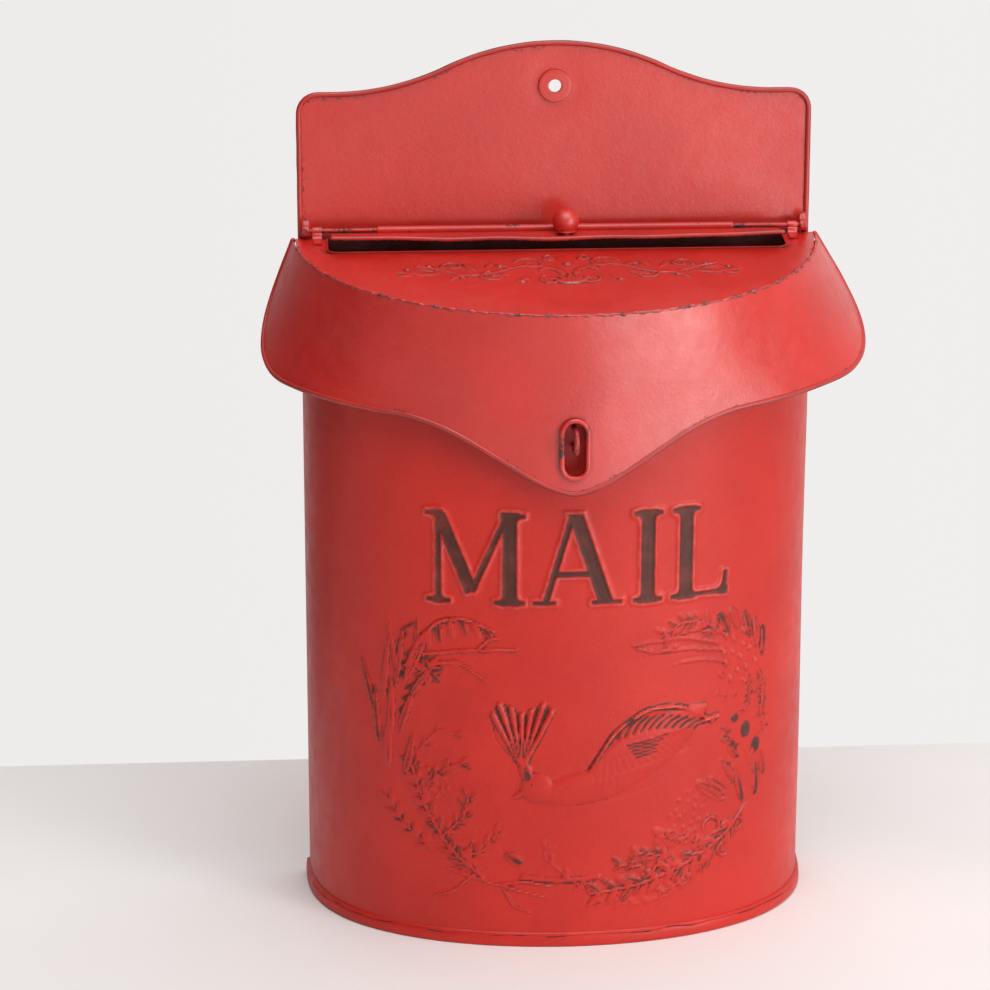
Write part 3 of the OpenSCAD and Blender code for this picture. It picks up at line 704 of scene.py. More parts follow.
        scratch(((10 + 3 * f, 74 + 7 * f), (30 + 2 * f, 79 + 8 * f), (50 - 3 * f, 84 + 8 * f)), 14, 0.45, 0.22, 0.28)
    for k in range(4):
        scratch(((6 + 3 * k, 80 - k), (10 + 3 * k, 76 - k), (9 + 3 * k, 71 - k)), 8, 0.45, 0.18, 0.3)
    scratch(((-20, 64), (0, 63), (18, 65), (36, 70)), 20, 0.4, 0.12, 0.5)
    r.dome(at(-16, 72), 0.9, 0.9, 1.3, dark=1.0)
    # the hollows round the raised shapes are darkened, partly wax and partly painted shade; the crests get the paler
    # rub and painted highlight
    hollow, crest = r.masks(3.6, 1.2, 0.8)
    r.dark = np.clip(np.maximum(r.dark * 0.78, hollow * 0.78), 0, 1)
    r.h -= r.cut

    # the word: a raised rim round a flat, waxed face; the rim gets a painted highlight, partly rubbed paint
    where, x, y = r.window(-66, 72, 144, 191)
    d = letters(x, y - 149.5, 38.5)
    word = 0.75 * np.exp(-((d - 0.35) / 0.85) ** 2) + 0.10 * smooth(-d, 0.2, 1.4)
    r.h[where] = np.maximum(r.h[where], word)
    r.dark[where] = np.maximum(r.dark[where], np.clip(0.42 - d / 1.5, 0, 1))
    crest[where] = np.maximum(crest[where], 0.55 * np.exp(-((d - 0.7) / 0.7) ** 2))
    return r, r.dark, crest


# ---------------------------------------------------------------- body
def widen(a, count=3):
    """Repeats the first and last columns, for the flanges."""
    return np.concatenate([np.repeat(a[:, :1], count, 1), a, np.repeat(a[:, -1:], count, 1)], 1)


def make_body():
    r, dark, crest = front_relief()
    half = BODY_PLAN[0][-1]
    outer = half - np.array([0.0, 0.5, 1.2, 2.5, 4.5, 7.5])
    outer = np.concatenate([outer, np.arange(half - 11, r.x[-1] + 2, -4.0)])
    u = np.concatenate([-outer, r.x, outer[::-1]])
    z_low, top_rows = np.array([SHEET, 2.5, 4.5, 6.2]), 10
    x, y, nx, ny = on_plan(BODY_PLAN, u)
    rim = BODY_TOP - WIRE_R + TAN * y
    rows = [np.full(len(u), z) for z in np.concatenate([z_low, r.y])]
    rows += [r.y[-1] + (rim - r.y[-1]) * k / top_rows for k in range(1, top_rows + 1)]
    z = np.array(rows)
    lift, wax_and_shade, rub_and_highlight = (np.zeros_like(z) for _ in range(3))
    block = (slice(len(z_low), len(z_low) + len(r.y)), slice(len(outer), len(outer) + len(r.x)))
    lift[block], wax_and_shade[block], rub_and_highlight[block] = r.h, dark, crest
    lift += 0.16 * ripple(u[None], z, 90, 3) * smooth(half - np.abs(u), 0, 25)[None] * smooth(z, 8, 30)
    wear = np.zeros_like(z) + 0.55 * np.exp(-(half - np.abs(u)) / 2.5)
    # flanges turned in along the back plate
    flange = np.array([BODY_A - 9.0, BODY_A - 4.5, BODY_A - 1.2])
    cols_x = np.concatenate([-flange, x, flange[::-1]])
    cols_y = np.concatenate([np.full(3, -PLATE_GAP), y, np.full(3, -PLATE_GAP)])
    cols_nx = np.concatenate([np.zeros(3), nx, np.zeros(3)])
    cols_ny = np.concatenate([np.ones(3), ny, np.ones(3)])
    cols_nx[3], cols_nx[-4] = -0.9, 0.9
    cols_ny[3] = cols_ny[-4] = 0.9
    z, lift, wax_and_shade, rub_and_highlight, wear = (widen(a) for a in (z, lift, wax_and_shade, rub_and_highlight, wear))
    lift[:, :3] = lift[:, -3:] = 0
    n, m = z.shape
    front = np.stack([cols_x + cols_nx * lift, cols_y + cols_ny * lift, z], -1)
    # the inner face is coarse, and shares its border's spacing with the outer one
    col = np.arange(m)
    border = [(0, j) for j in col] + [(i, m - 1) for i in range(1, n)]
    border += [(n - 1, j) for j in col[::-1][1:]] + [(i, 0) for i in range(n - 2, 0, -1)]
    across = np.concatenate([u[0] + np.array([-9.0, -4.5, -1.2]), u, u[-1] + np.array([1.2, 4.5, 9.0])])
    loop = np.array([(across[j], z[i, j]) for i, j in border])
    flat, tris, _ = fill([loop], lattice([loop], 7.0, 3.5))
    back_xy = [np.interp(flat[:, 0], across, c) for c in (cols_x - cols_nx * SHEET, cols_y - cols_ny * SHEET)]
    back = np.stack([*back_xy, flat[:, 1]], -1)
    start = n * m
    faces = quads(n, m) + [[start + a, start + b, start + c] for a, b, c in tris]
    index = [i * m + j for i, j in border]
    k = len(index)
    faces += [[index[i], index[(i + 1) % k], start + (i + 1) % k, start + i] for i in range(k)]
    pad = np.zeros(len(back))
    # painted shade: the whole inner face is painted dark
    attrs = {"patina": np.concatenate([wax_and_shade.ravel(), pad]), "rub_and_highlight": np.concatenate([rub_and_highlight.ravel(), pad]),
             "wear": np.concatenate([wear.ravel(), pad]), "inner": np.concatenate([np.zeros(start), pad + 1])}
    piece("embossed_body", np.vstack([front.reshape(-1, 3), back]), faces, "root", "panel_paint", BODY,
          ["body_shell"], attrs, sharp=60)
    # rolled upper edge, its top side painted dark as shade under the lid
    q = np.linspace(-half + 1.5, half - 1.5, 150)
    x, y, nx, ny = on_plan(BODY_PLAN, q)
    path = np.stack([x - nx * 0.4, y - ny * 0.4, BODY_TOP + TAN * y], 1)
    verts, faces = tube(path, WIRE_R * (1 + 0.03 * ripple(q, 0 * q, 14, 5)), 14)
    piece("body_rolled_edge", verts, faces, "root", "wire_paint", WIRE, ["body_top_wire"],
          {"wear": np.full(len(verts), 0.3), "inner": facing(verts, 14, (0, 0, 1))})
    # base: a pan whose rim wraps the foot of the body, with a pressed crease above the bead
    q = np.linspace(-half, half, 320)
    x, y, nx, ny = on_plan(BODY_PLAN, q)
    y = np.minimum(y, -PLATE_GAP)
    out = np.array([(-0.9, 0.02), (0.5, 0.02), (0.95, 0.3), (1.15, 0.9), (1.1, 2.2), (1.0, 3.4), (0.86, 4.3),
                    (0.5, 4.75), (0.78, 5.15), (0.7, 5.6), (0.35, 6.0), (0.06, 6.2), (0.02, 6.0), (0.02, 0.85),
                    (-0.9, 0.85)])
    crease_at, under = 7, 3
    ring = np.broadcast_to(out, (len(q), *out.shape)).copy()
    wobble = 0.07 * ripple(q, 0 * q, 26, 8) + 0.04 * ripple(q, 0 * q, 7, 9)
    ring[:, under:11, 0] += wobble[:, None] + 0.5 * np.abs(nx[:, None]) ** 2
    ring[:, crease_at - 1:crease_at + 2, 1] += (0.35 * ripple(q, 0 * q, 22, 10))[:, None]
    up = np.tile((0.0, 0.0, 1.0), (len(q), 1))
    rim_part = sweep(np.stack([x, y, 0 * q], 1), np.stack([nx, ny, 0 * q], 1), up, ring)
    dash = smooth(ripple(q, 0 * q, 19, 12), -0.1, 0.5)
    crease = np.zeros((len(q), len(out)))
    crease[:, crease_at] = dash
    crease[:, crease_at - 1] = crease[:, crease_at + 1] = dash * 0.12
    wear = np.tile(np.where(np.arange(len(out)) < under, 0.5, 0.0), len(q))
    piece("base_rolled_rim", *rim_part, "root", "panel_paint", BODY, ["base_pan"],
          {"patina": crease.ravel() * 0.9, "wear": wear}, 60)
    loop = np.stack([x - nx * 0.95, y - ny * 0.95], 1)

    def dish(p, z):
        return np.column_stack([p, z + 0.5 * smooth(near(p, [loop]), 5, 14)])

    verts, faces, _ = sheet([loop], lattice([loop], 9.0), lambda p: dish(p, SHEET), lambda p: dish(p, 0.02))
    piece("base_floor", verts, faces, "root", "panel_paint", BODY)


# ---------------------------------------------------------------- back plate
def crown_half(inset):
    """The upper plate's edge from the right side to the middle, in (x, z)."""
    step, rise = 46.0, CROWN_Z - SHOULDER_Z
    r = (step * step + rise * rise / 4) / rise
    a = math.degrees(math.asin(step / r))
    corner = arc(PLATE_HALF - 9, SHOULDER_Z - 9, 9 - inset, 0, 90, 12)
    t = np.radians(np.linspace(0, a, 30))
    dip = np.stack([92 - (r + inset) * np.sin(t), SHOULDER_Z + r - (r + inset) * np.cos(t)], 1)
    t = t[::-1][1:]
    top = np.stack([(r - inset) * np.sin(t), CROWN_Z - r + (r - inset) * np.cos(t)], 1)
    return np.vstack([corner, dip, top])


def mirror(p):
    return np.vstack([p, (p[:-1] * (-1, 1))[::-1]])


def straight(p, q, step):
    n = max(2, int(round(np.hypot(*(np.array(q) - p)) / step)) + 1)
    return np.linspace(p, q, n)


def runs(points, steps):
    """Straight runs from point to point, each with its own spacing."""
    return [straight(p, q, step) for p, q, step in zip(points, points[1:], steps)]


def hoop(cx, cy, r, n):
    return arc(cx, cy, r, 0, 360, n + 1)[:-1]


def chain(*parts):
    """Runs of points joined into one loop, without doubled points."""
    points = [np.asarray(parts[0][0], float)]
    for run in parts:
        for p in np.asarray(run, float):
            if np.hypot(*(p - points[-1])) > 0.05:
                points.append(p)
    if np.hypot(*(points[0] - points[-1])) < 0.05:
        points.pop()
    return np.array(points)


def make_back():
    inset = WIRE_R + 1.03
    crown = mirror(crown_half(inset))
    side = PLATE_HALF - inset
    shoulder = (BODY_A, WIRE_END_Z), (side, WIRE_END_Z)
    loop = chain(*runs([(BODY_A, 0), *shoulder, crown[0]], (6, 1, 4)), crown,
                 *runs([crown[-1], (-side, WIRE_END_Z), (-BODY_A, WIRE_END_Z), (-BODY_A, 0), (BODY_A, 0)],
                       (4, 1, 6, 6)))
    hole = hoop(0, HOLE_Z, HOLE_R, 40)
    rings = np.vstack([hoop(0, HOLE_Z, r, 40) for r in (3.4, 4.6, 6.4, 8.2, 10.5)])
    inner = lattice([loop, hole], 5.0, 2.4)
    inner = inner[np.hypot(inner[:, 0], inner[:, 1] - HOLE_Z) > 12.5]
    inner = np.vstack([inner, rings])

    def bow(p):
        """The upper plate isn't quite flat; the part behind the body is."""
        free = smooth(p[:, 1], 292, 312)
        edge = smooth(near(p, [loop]), 0, 14)
        dip = 0.25 * np.exp(-((np.hypot(p[:, 0], p[:, 1] - HOLE_Z) - 8.5) / 2.4) ** 2)
        return free * edge * (0.28 * ripple(p[:, 0], p[:, 1], 85, 21)) - dip * free

    def face(p, y):
        return np.column_stack([p[:, 0], y, p[:, 1]])

    verts, faces, flat = sheet([loop, hole], inner, lambda p: face(p, -bow(p)),
                               lambda p: face(p, SHEET - bow(p) * 0.5))
    edge = np.exp(-near(flat, [loop]) / 1.2) * 0.5
    # painted shade on the face of the plate behind the body
    shade_behind_body = smooth(288 - flat[:, 1], 0, 3) * smooth(BODY_A - 1 - np.abs(flat[:, 0]), 0, 1)
    piece("crown_plate", verts, faces, "root", "panel_paint", PANEL, ["back_plate"],
          {"wear": np.tile(edge, 2), "inner": np.concatenate([shade_behind_body, 0 * shade_behind_body])})
    # rolled edge, painted darker on its outer side as shade, partly patina
    run = mirror(crown_half(WIRE_R))
    foot = straight((PLATE_HALF - WIRE_R, WIRE_END_Z), (run[0][0], run[0][1]), 2.5)
    xz = chain(foot, run, (foot * (-1, 1))[::-1])
    xz = resample(xz, 2.0)
    s = np.arange(len(xz)) * 2.0
    path = np.stack([xz[:, 0], np.full(len(xz), SHEET - WIRE_R), xz[:, 1]], 1)
    verts, faces = tube(path, WIRE_R * (1.02 + 0.045 * ripple(s, 0 * s, 17, 4)), 16)
    ends = capped(path)
    out = facing(verts, 16, unit((ends - (0, 0, 300)) * (1, 0, 1)) + (0, 0.35, 0))
    wear = 0.12 + (0.75 + 0.5 * ripple(verts[:, 0], verts[:, 2], 30, 6)) * out ** 2
    patchy = np.clip(0.55 + 0.5 * ripple(verts[:, 0], verts[:, 2], 45, 7), 0.15, 0.9)
    piece("crown_rolled_edge", verts, faces, "root", "wire_paint", WIRE, ["back_plate_wire"],
          {"wear": wear, "inner": smooth(out, 0.35, 0.75) * patchy})
    # washer: a pressed eyelet with a rolled rim; its lower left side, the foot of its rim and its hole are painted
    # darker as shade
    profile = [(2.72, 0.0), (2.72, 0.85), (2.9, 1.04), (3.3, 1.1), (4.2, 1.03), (5.4, 1.0), (6.3, 1.03),
               (6.75, 0.9), (6.98, 0.5), (6.95, 0.02)]
    verts, faces = lathe(profile, (0, -PLATE_GAP, HOLE_Z), (0, -1, 0), 64, closed=True)
    radius = np.hypot(verts[:, 0], verts[:, 2] - HOLE_Z)
    turn = np.arctan2(verts[:, 2] - HOLE_Z, verts[:, 0])
    shaded_side = 0.5 - 0.5 * np.cos(turn - 0.6)
    wear = 0.8 * np.exp(-((radius - 2.9) / 0.5) ** 2) + 0.9 * np.exp(-((radius - 7.0) / 0.35) ** 2) * shaded_side
    inner = np.maximum(smooth(radius, 6.8, 7.0) * 0.6, smooth(-radius, -2.85, -2.72) * 0.8)
    piece("hanging_eyelet", verts, faces, "root", "panel_paint", PANEL, ["hanger_washer"],
          {"wear": wear * 0.6, "inner": inner})


def resample(points, step):
    s = np.concatenate([[0], np.cumsum(np.linalg.norm(np.diff(points, axis=0), axis=1))])
    q = np.linspace(0, s[-1], max(3, int(round(s[-1] / step)) + 1))
    return np.stack([np.interp(q, s, c) for c in points.T], 1)


# ---------------------------------------------------------------- lid
LID_REAR = 5.5                # how far in front of the plate the skirt ends
LID_HALF = np.interp(LID_A * math.cos(math.asin((LID_REAR / LID_D) ** (LID_M / 2))), LID_PLAN[1], LID_PLAN[0])


LEFT_REACH, RIGHT_REACH = 36.0, 42.0        # lengths of the skirt's rounded rear corners
SKIRT_LEAN = 0.03             # how far the skirt flares at the front, per mm of drop
REAR_DROP = 12                # how far the skirt hangs at its rear ends


def lid_z(y):
    return LID_Z + TAN * y


def drop(u):
    """How far the skirt hangs at arc length u from the middle; the left wing hangs lower."""
    e = LID_HALF - np.abs(u)
    side = 43.5 + 2 * np.clip(-np.interp(u, LID_PLAN[0], LID_PLAN[1]) / LID_A, 0, 1) ** 2
    reach = np.where(u < 0, LEFT_REACH, RIGHT_REACH)
    rounding = np.sqrt(np.clip(1 - (1 - np.clip(e, 0, reach) / reach) ** 2, 0, 1))
    corner = REAR_DROP + (side - REAR_DROP) * rounding
    v = np.clip(LID_HALF - e, 0, 72)
    tip = side + 27.8 * (1 + np.cos(np.pi * (v / 72) ** 0.8)) / 2
    return np.where(e < reach, corner, tip)


def skirt_point(u, h, inset=0.0):
    """A point of the skirt, h below the lid's edge and inset from its outer face."""
    x, y, nx, ny = on_plan(LID_PLAN, np.clip(u, -LID_HALF, LID_HALF))
    extra = np.maximum(0, np.abs(u) - LID_HALF)
    slope = SKIRT_LEAN + np.where(x < 0, 0.38, 0.60) * np.minimum(1, np.abs(x) / LID_A) ** 4
    loose = np.maximum(0, 1 - (LID_HALF - np.abs(u)) / 26) ** 2 * np.maximum(0, 1 - h / 20)
    loose = np.where(np.abs(u) > LID_HALF, np.maximum(0, 1 - h / 20), loose)
    wing = np.minimum(1, np.abs(x) / LID_A) ** 4
    o = h * slope - 0.0011 * h * h * wing * (x > 0) + 0.6 * loose - inset
    return np.stack([x + nx * o, y + ny * o + extra, lid_z(y) - 0.9 * loose - h], -1)


def lid_edge():
    """The free edge of the skirt from the left rear corner round the front to the right, in (u, h)."""
    t = np.radians(np.linspace(0, 90, 26))
    u = -LID_HALF + RIGHT_REACH * (1 - np.cos(t))
    u = np.concatenate([u, np.linspace(-LID_HALF + RIGHT_REACH, 0, 62)[1:]])
    u = np.concatenate([u, -u[:-1][::-1]])
    return np.stack([u, drop(u)], 1)


def scrolls():
    """Leafy scrolls pressed into the top of the lid, in (x, y) of its plane."""
    r = Relief(np.arange(-76, 78.2, 0.62), np.arange(-70, -26.2, 0.62))

    def spiral(cx, cy, r0, r1, a0, a1):
        a = np.radians(np.linspace(a0, a1, 40))
        s = np.linspace(r0, r1, 40)
        return np.stack([cx + s * np.cos(a), cy + s * np.sin(a)], 1)

    middle = 2.0
    for side in (-1, 1):
        def put(points, r0=0.85, r1=0.6):
            r.line(np.asarray(points, float) * (side, 1) + (middle, 0), r0, r1, 0.465)

        def leaf(x, y, a, length):
            r.blade((side * x + middle, y), a if side > 0 else 180 - a, length, 3.0, 0.5,
                    bend=0.15 * side, dark=0.2)

        wave = np.linspace(0, 1, 50)
        put(np.stack([4 + 58 * wave, -47 + 5.5 * np.sin(wave * 2 * np.pi * 1.25)], 1), 1.0, 0.5)
        put(spiral(15, -39.5, 1.0, 7.0, 420, 20))
        put(spiral(31, -54.0, 0.8, 6.0, -340, 70))
        put(spiral(47, -41.0, 0.8, 5.0, 380, -10))
        put(spiral(7.5, -57.5, 0.8, 5.5, 80, 420))
        put(spiral(6.5, -33.5, 0.6, 3.4, -260, 90), 0.7, 0.5)
        for x, y, a, length in ((22, -45, 38, 10), (24, -50, -40, 9), (38, -46, 55, 9), (40, -50, -30, 10),
                                (52, -49, -22, 11), (55, -47, 24, 10), (60, -50, 4, 12), (2, -52, 62, 8),
                                (12, -48, 118, 8), (33, -44, 100, 7), (45, -52, -65, 7), (17, -54, -60, 8),
                                (64, -51, 30, 6), (64, -51, -28, 6)):
            leaf(x, y, a, length)
        for x, y in ((28, -42), (44, -55), (57, -41), (20, -60), (66, -45)):
            r.dome((side * x + middle, y), 1.1, 1.1, 0.8)
    for a in (-60, -30, 0, 30, 60):
        r.blade((middle, -62), 90 + a, 11 - abs(a) / 20, 3.4, 0.85, dark=0.35)
    r.dome((middle, -40), 1.8, 1.8, 0.9)
    # the hollows round the scrolls are darkened, partly wax and partly painted shade; the crests get a faint painted
    # highlight, partly rubbed paint
    hollow, crest = r.masks(7.0, 2.0, 0.8)
    return r, np.clip(np.maximum(r.dark * 0.3, hollow * 0.85), 0, 1), crest * 0.25


def make_lid():
    # top panel, in its own plane: x across, y down the slope
    front = 21.8 / COS
    depth = (LID_D - SHEET) / COS
    a_in = LID_A - SHEET
    t = np.linspace(0, np.pi, 500)
    outline = np.stack([-a_in * np.cos(t), -depth * np.sin(t) ** (2 / LID_M)], 1)
    rear, slot_half, corner = -5.2, 95.5, 3
    outline = resample(outline[outline[:, 1] < rear], 2.2)
    outline[0, 1] = outline[-1, 1] = rear
    left, right = outline[0], outline[-1]
    turn, flat_half = corner - front, slot_half - corner
    notch = chain(straight((slot_half, rear), (slot_half, turn), 3), arc(flat_half, turn, corner, 0, -90, 8),
                  straight((flat_half, -front), (-flat_half, -front), 3),
                  arc(-flat_half, turn, corner, -90, -180, 8),
                  straight((-slot_half, turn), (-slot_half, rear), 3), [(-slot_half, rear)])
    loop = chain(outline, straight(right, (slot_half, rear), 3), notch, straight((-slot_half, rear), left, 3))
    r, dark, crest = scrolls()
    gx, gy = np.meshgrid(r.x, r.y)
    fine = np.stack([gx.ravel(), gy.ravel()], 1)
    coarse = lattice([loop], 4.5, 2.2)
    steps = [resample(notch + offset, 2.0) for offset in ((0, -0.6), (0, -1.3), (0, -2.1), (0, -3.2))]
    steps = np.vstack([s[(np.abs(s[:, 0]) < 90) & (s[:, 1] < -front - 0.3)] for s in steps])
    coarse = np.vstack([coarse[near(coarse, [steps]) > 1.0], steps])
    cx, cy = coarse.T
    box = (cx > r.x[0] - 2) & (cx < r.x[-1] + 2) & (cy > r.y[0] - 2) & (cy < r.y[-1] + 0.4)
    inner = np.vstack([fine, coarse[~box]])

    def sag(p):
        turn = 0.7 * np.exp(-near(p, [notch], False) / 1.6)
        rim = near(p, [loop])
        return 0.30 * ripple(p[:, 0], p[:, 1], 80, 31) * smooth(rim, 0, 16) - 0.15 * np.exp(-rim / 1.2) - turn

    def lay(p, z):
        return np.column_stack([p[:, 0], p[:, 1] * COS - z * SIN, LID_Z + p[:, 1] * SIN + z * COS])

    def top(p):
        k = len(loop)
        h = np.zeros(len(p))
        h[k:k + len(fine)] = r.h.ravel()
        return lay(p, h + sag(p))

    verts, faces, flat = sheet([loop], inner, top, lambda p: lay(p, sag(p) - SHEET))
    k, n = len(loop), len(flat)
    wax_and_shade, rub_and_highlight = np.zeros(2 * n), np.zeros(2 * n)
    wax_and_shade[k:k + len(fine)], rub_and_highlight[k:k + len(fine)] = dark.ravel(), crest.ravel()
    wear = np.tile(0.45 * np.exp(-near(flat, [outline], False) / 1.2), 2)
    # painted shadow: a soft dark band on the lid in front of the slot, under the flap; the lid's underside gets
    # painted shade
    slot_shadow = 0.9 * np.exp(-(near(flat, [notch], False) / 2.6) ** 2) * (flat[:, 1] < -front + 3)
    under = np.concatenate([slot_shadow, np.full(n, 0.35)])
    piece("lid_panel", verts, faces, "lid", "lid_paint", LID, ["lid_top"],
          {"patina": wax_and_shade, "rub_and_highlight": rub_and_highlight, "wear": wear, "inner": under})
    # the edge turned down round the slot, painted darker down its depth as shade
    rail = resample(notch, 2.0)
    tx = unit(np.gradient(rail, axis=0))
    away = np.stack([tx[:, 1], -tx[:, 0]], 1)
    if away[len(rail) // 2][1] > 0:
        away = -away
    path = lay(rail, np.zeros(len(rail)))
    side = np.stack([away[:, 0], away[:, 1] * COS, away[:, 1] * SIN], 1)
    up = np.tile((0.0, -SIN, COS), (len(rail), 1))
    lip = [(0.75, -0.05), (0.35, 0.05), (0.08, -0.12), (0.0, -0.5), (0.0, -2.2), (0.2, -2.55), (0.6, -2.55),
           (0.78, -2.2), (0.78, -0.6)]
    lip_part = sweep(path, side, up, lip)
    lip_shade = np.tile(smooth(-np.array(lip)[:, 1], 0.1, 0.6), len(path))
    piece("slot_rolled_lip", *lip_part, "lid", "lid_paint", LID, (), {"inner": lip_shade})


def make_skirt():
    edge = lid_edge()
    rear = straight((-LID_HALF, 0), (-LID_HALF, REAR_DROP), 3)[1:-1]
    crest_line = resample(np.array([(LID_HALF, 0.0), (-LID_HALF, 0.0)]), 2.0)
    loop = chain(edge, (rear * (-1, 1))[::-1], crest_line, rear)
    w, cz = 4.2, lid_z(-LID_D) - RING_Z
    hole = chain(arc(0, cz + RING_HALF, w, 0, 180, 18), arc(0, cz - RING_HALF, w, 180, 360, 18))
    inner = lattice([loop, hole], 3.2, 1.5)
    ring = np.abs(np.hypot(inner[:, 0], np.maximum(0, np.abs(inner[:, 1] - cz) - RING_HALF)) - w) > 1.0
    inner = inner[ring]

    def face(p, inset):
        wave = 0.35 * ripple(p[:, 0], p[:, 1], 75, 41) * smooth(near(p, [loop]), 0, 18)
        return skirt_point(p[:, 0], p[:, 1], inset - wave)

    verts, faces, flat = sheet([loop, hole], inner, lambda p: face(p, 0), lambda p: face(p, SHEET))
    shade = np.concatenate([0.8 * (near(flat, [hole]) < 0.05), np.full(len(flat), 0.55)])
    wear = np.maximum(0.5 * np.exp(-near(flat, [edge], False) / 0.9), 0.5 * np.exp(-np.abs(flat[:, 1]) / 0.8))
    wear = np.tile(wear, 2)
    piece("lid_skirt_panel", verts, faces, "lid", "lid_paint", LID, ["lid_skirt"],
          {"wear": wear, "inner": shade})
    # wire rolled into the free edge, painted darker on its outer and lower side as shade, partly patina
    run = chain(straight((-LID_HALF, 0), (-LID_HALF, REAR_DROP), 2), edge,
                straight((LID_HALF, REAR_DROP), (LID_HALF, 0), 2))
    run = resample(run, 1.6)
    d = unit(np.gradient(run, axis=0))
    off = run + (WIRE_R - 0.1) * np.stack([-d[:, 1], d[:, 0]], 1)
    s = np.arange(len(off)) * 1.6
    path = skirt_point(off[:, 0], off[:, 1], SHEET / 2)
    verts, faces = tube(path, WIRE_R * (1.0 + 0.05 * ripple(s, 0 * s, 15, 14)), 14)
    away = skirt_point(off[:, 0], off[:, 1], 0) - skirt_point(run[:, 0], run[:, 1], 0)
    out = facing(verts, 14, capped(away) + (0, 0.15, -0.25))
    broken = smooth(ripple(verts[:, 0] + verts[:, 1], verts[:, 2], 24, 15), -1.0, 0.4)
    piece("skirt_rolled_edge", verts, faces, "lid", "wire_paint", WIRE, ["lid_edge_wire"],
          {"wear": 0.15 + 0.8 * out ** 1.5, "inner": (0.3 + 0.7 * broken) * smooth(out, 0.3, 0.6)})
    # uneven run of solder where the top meets the skirt, its underside painted dark as shade
    q = np.arange(-LID_HALF + 10, LID_HALF - 10, 0.7)
    path = skirt_point(q, 0 * q, SHEET * 0.55) + (0, 0, 0.12)
    lump = np.clip(0.62 + 0.22 * ripple(q, 0 * q, 5, 16) + 0.18 * ripple(q, 0 * q, 2.2, 17), 0.32, 1.05)
    path[:, 2] += 0.15 * ripple(q, 0 * q, 9, 18)
    verts, faces = tube(path, lump, 10)
    wear = 0.52 + 0.3 * ripple(verts[:, 0], verts[:, 1], 12, 19)
    patchy = 0.5 + 0.4 * ripple(verts[:, 0], verts[:, 1], 16, 20)
    under = smooth(facing(verts, 10, (0, -1, -0.9)), 0.2, 0.7) * patchy
    piece("lid_solder_seam", verts, faces, "lid", "lid_paint", LID, ["lid_seam"],
          {"wear": wear, "inner": np.clip(under, 0, 1)})


# ---------------------------------------------------------------- small metalwork
def make_hasp():
    # staple: a wire bent double, its ends turned over inside the body
    loop_y = -(BODY_D + 17.5) + 5.25
    inside_y = -(BODY_D - SHEET - 1.2 - 0.6) + 1
    bend = arc(0, 0, STAPLE_LEG, 90, -90, 22)
    pts = [(0, inside_y - back, STAPLE_LEG + out) for back, out in ((0, 4.6), (0.3, 1.6), (1.2, 0.2))]
    pts += [(0, inside_y - 2.6 - k * (inside_y - 2.6 - loop_y) / 8, STAPLE_LEG) for k in range(9)]
    pts += [(0, loop_y - a, b) for a, b in bend[1:-1]]
    pts = np.array(pts)
    path = np.vstack([pts, pts[:12][::-1] * (1, 1, -1)]) + (0, 0, STAPLE_Z)
    s = np.arange(len(path))
    verts, faces = tube(path, HASP_R * (1 + 0.03 * ripple(s, 0 * s, 6, 51)), 16)
    piece("hasp_loop", verts, faces, "root", "wire_paint", WIRE, ["hasp_staple"],
          {"wear": np.full(len(verts), 0.55)})
    # stamped backing plate with soft corners and two raised collars
    w, h, r = 6.0, 11.0, 1.6
    corners = ((w - r, h - r), (r - w, h - r), (r - w, r - h), (w - r, r - h))
    loop = chain(*[arc(*c, r, 90 * k, 90 * k + 90, 6) for k, c in enumerate(corners)])
    holes = [hoop(0, k * STAPLE_LEG, HASP_R + 0.12, 18) for k in (-1, 1)]
    inner = lattice([loop, *holes], 1.4, 0.6)

    def collar(p):
        d = np.minimum(*[np.hypot(p[:, 0], p[:, 1] - k * STAPLE_LEG) for k in (-1, 1)])
        return 0.25 * np.exp(-((d - 2.0) / 0.6) ** 2) - 0.2 * np.exp(-near(p, [loop]) / 0.5)

    def face(p, y):
        return np.column_stack([p[:, 0], y0 + y, p[:, 1] + STAPLE_Z])

    y0 = -BODY_D + SHEET + 0.12
    verts, faces, _ = sheet([loop, *holes], inner, lambda p: face(p, 1.15 + collar(p)),
                            lambda p: face(p, np.zeros(len(p))))
    piece("hasp_backing", verts, faces, "root", "panel_paint", PANEL, ["staple_plate"])
    # split ring round the slot in the skirt
    w, gap = 6.3 - HASP_R, 0.3
    half = chain(straight((-w, gap), (-w, RING_HALF), 1.5), arc(0, RING_HALF, w, 180, 0, 26),
                 straight((w, RING_HALF), (w, -RING_HALF), 1.5), arc(0, -RING_HALF, w, 0, -180, 26),
                 straight((-w, -RING_HALF), (-w, -gap), 1.5))
    x, z = resample(half, 1.0).T
    front = -(LID_D + SKIRT_LEAN * (lid_z(-LID_D) - RING_Z)) - HASP_R + 0.05
    path = np.stack([x, front + SKIRT_LEAN * z, z + RING_Z], 1)
    s = np.arange(len(path))
    verts, faces = tube(path, HASP_R * (1 + 0.035 * ripple(s, 0 * s, 12, 53)), 16)
    at_split = np.exp(-np.hypot(verts[:, 0] + w, verts[:, 2] - RING_Z) / 1.5)
    wear = 0.35 + 0.35 * ripple(verts[:, 0], verts[:, 2], 8, 54) + 0.5 * at_split
    piece("slot_split_ring", verts, faces, "lid", "lid_paint", LID, ["slot_ring"], {"wear": wear})


def hinge_frame(angle):
    """Turns (x, forward, up) on the hinge rod into the drawing's coordinates."""
    a = math.radians(angle)
    c, s = math.cos(a), math.sin(a)
    return lambda x, f, z: np.stack([x + 0 * f, HINGE_Y - (f * c - z * s), HINGE_Z + f * s + z * c], -1)


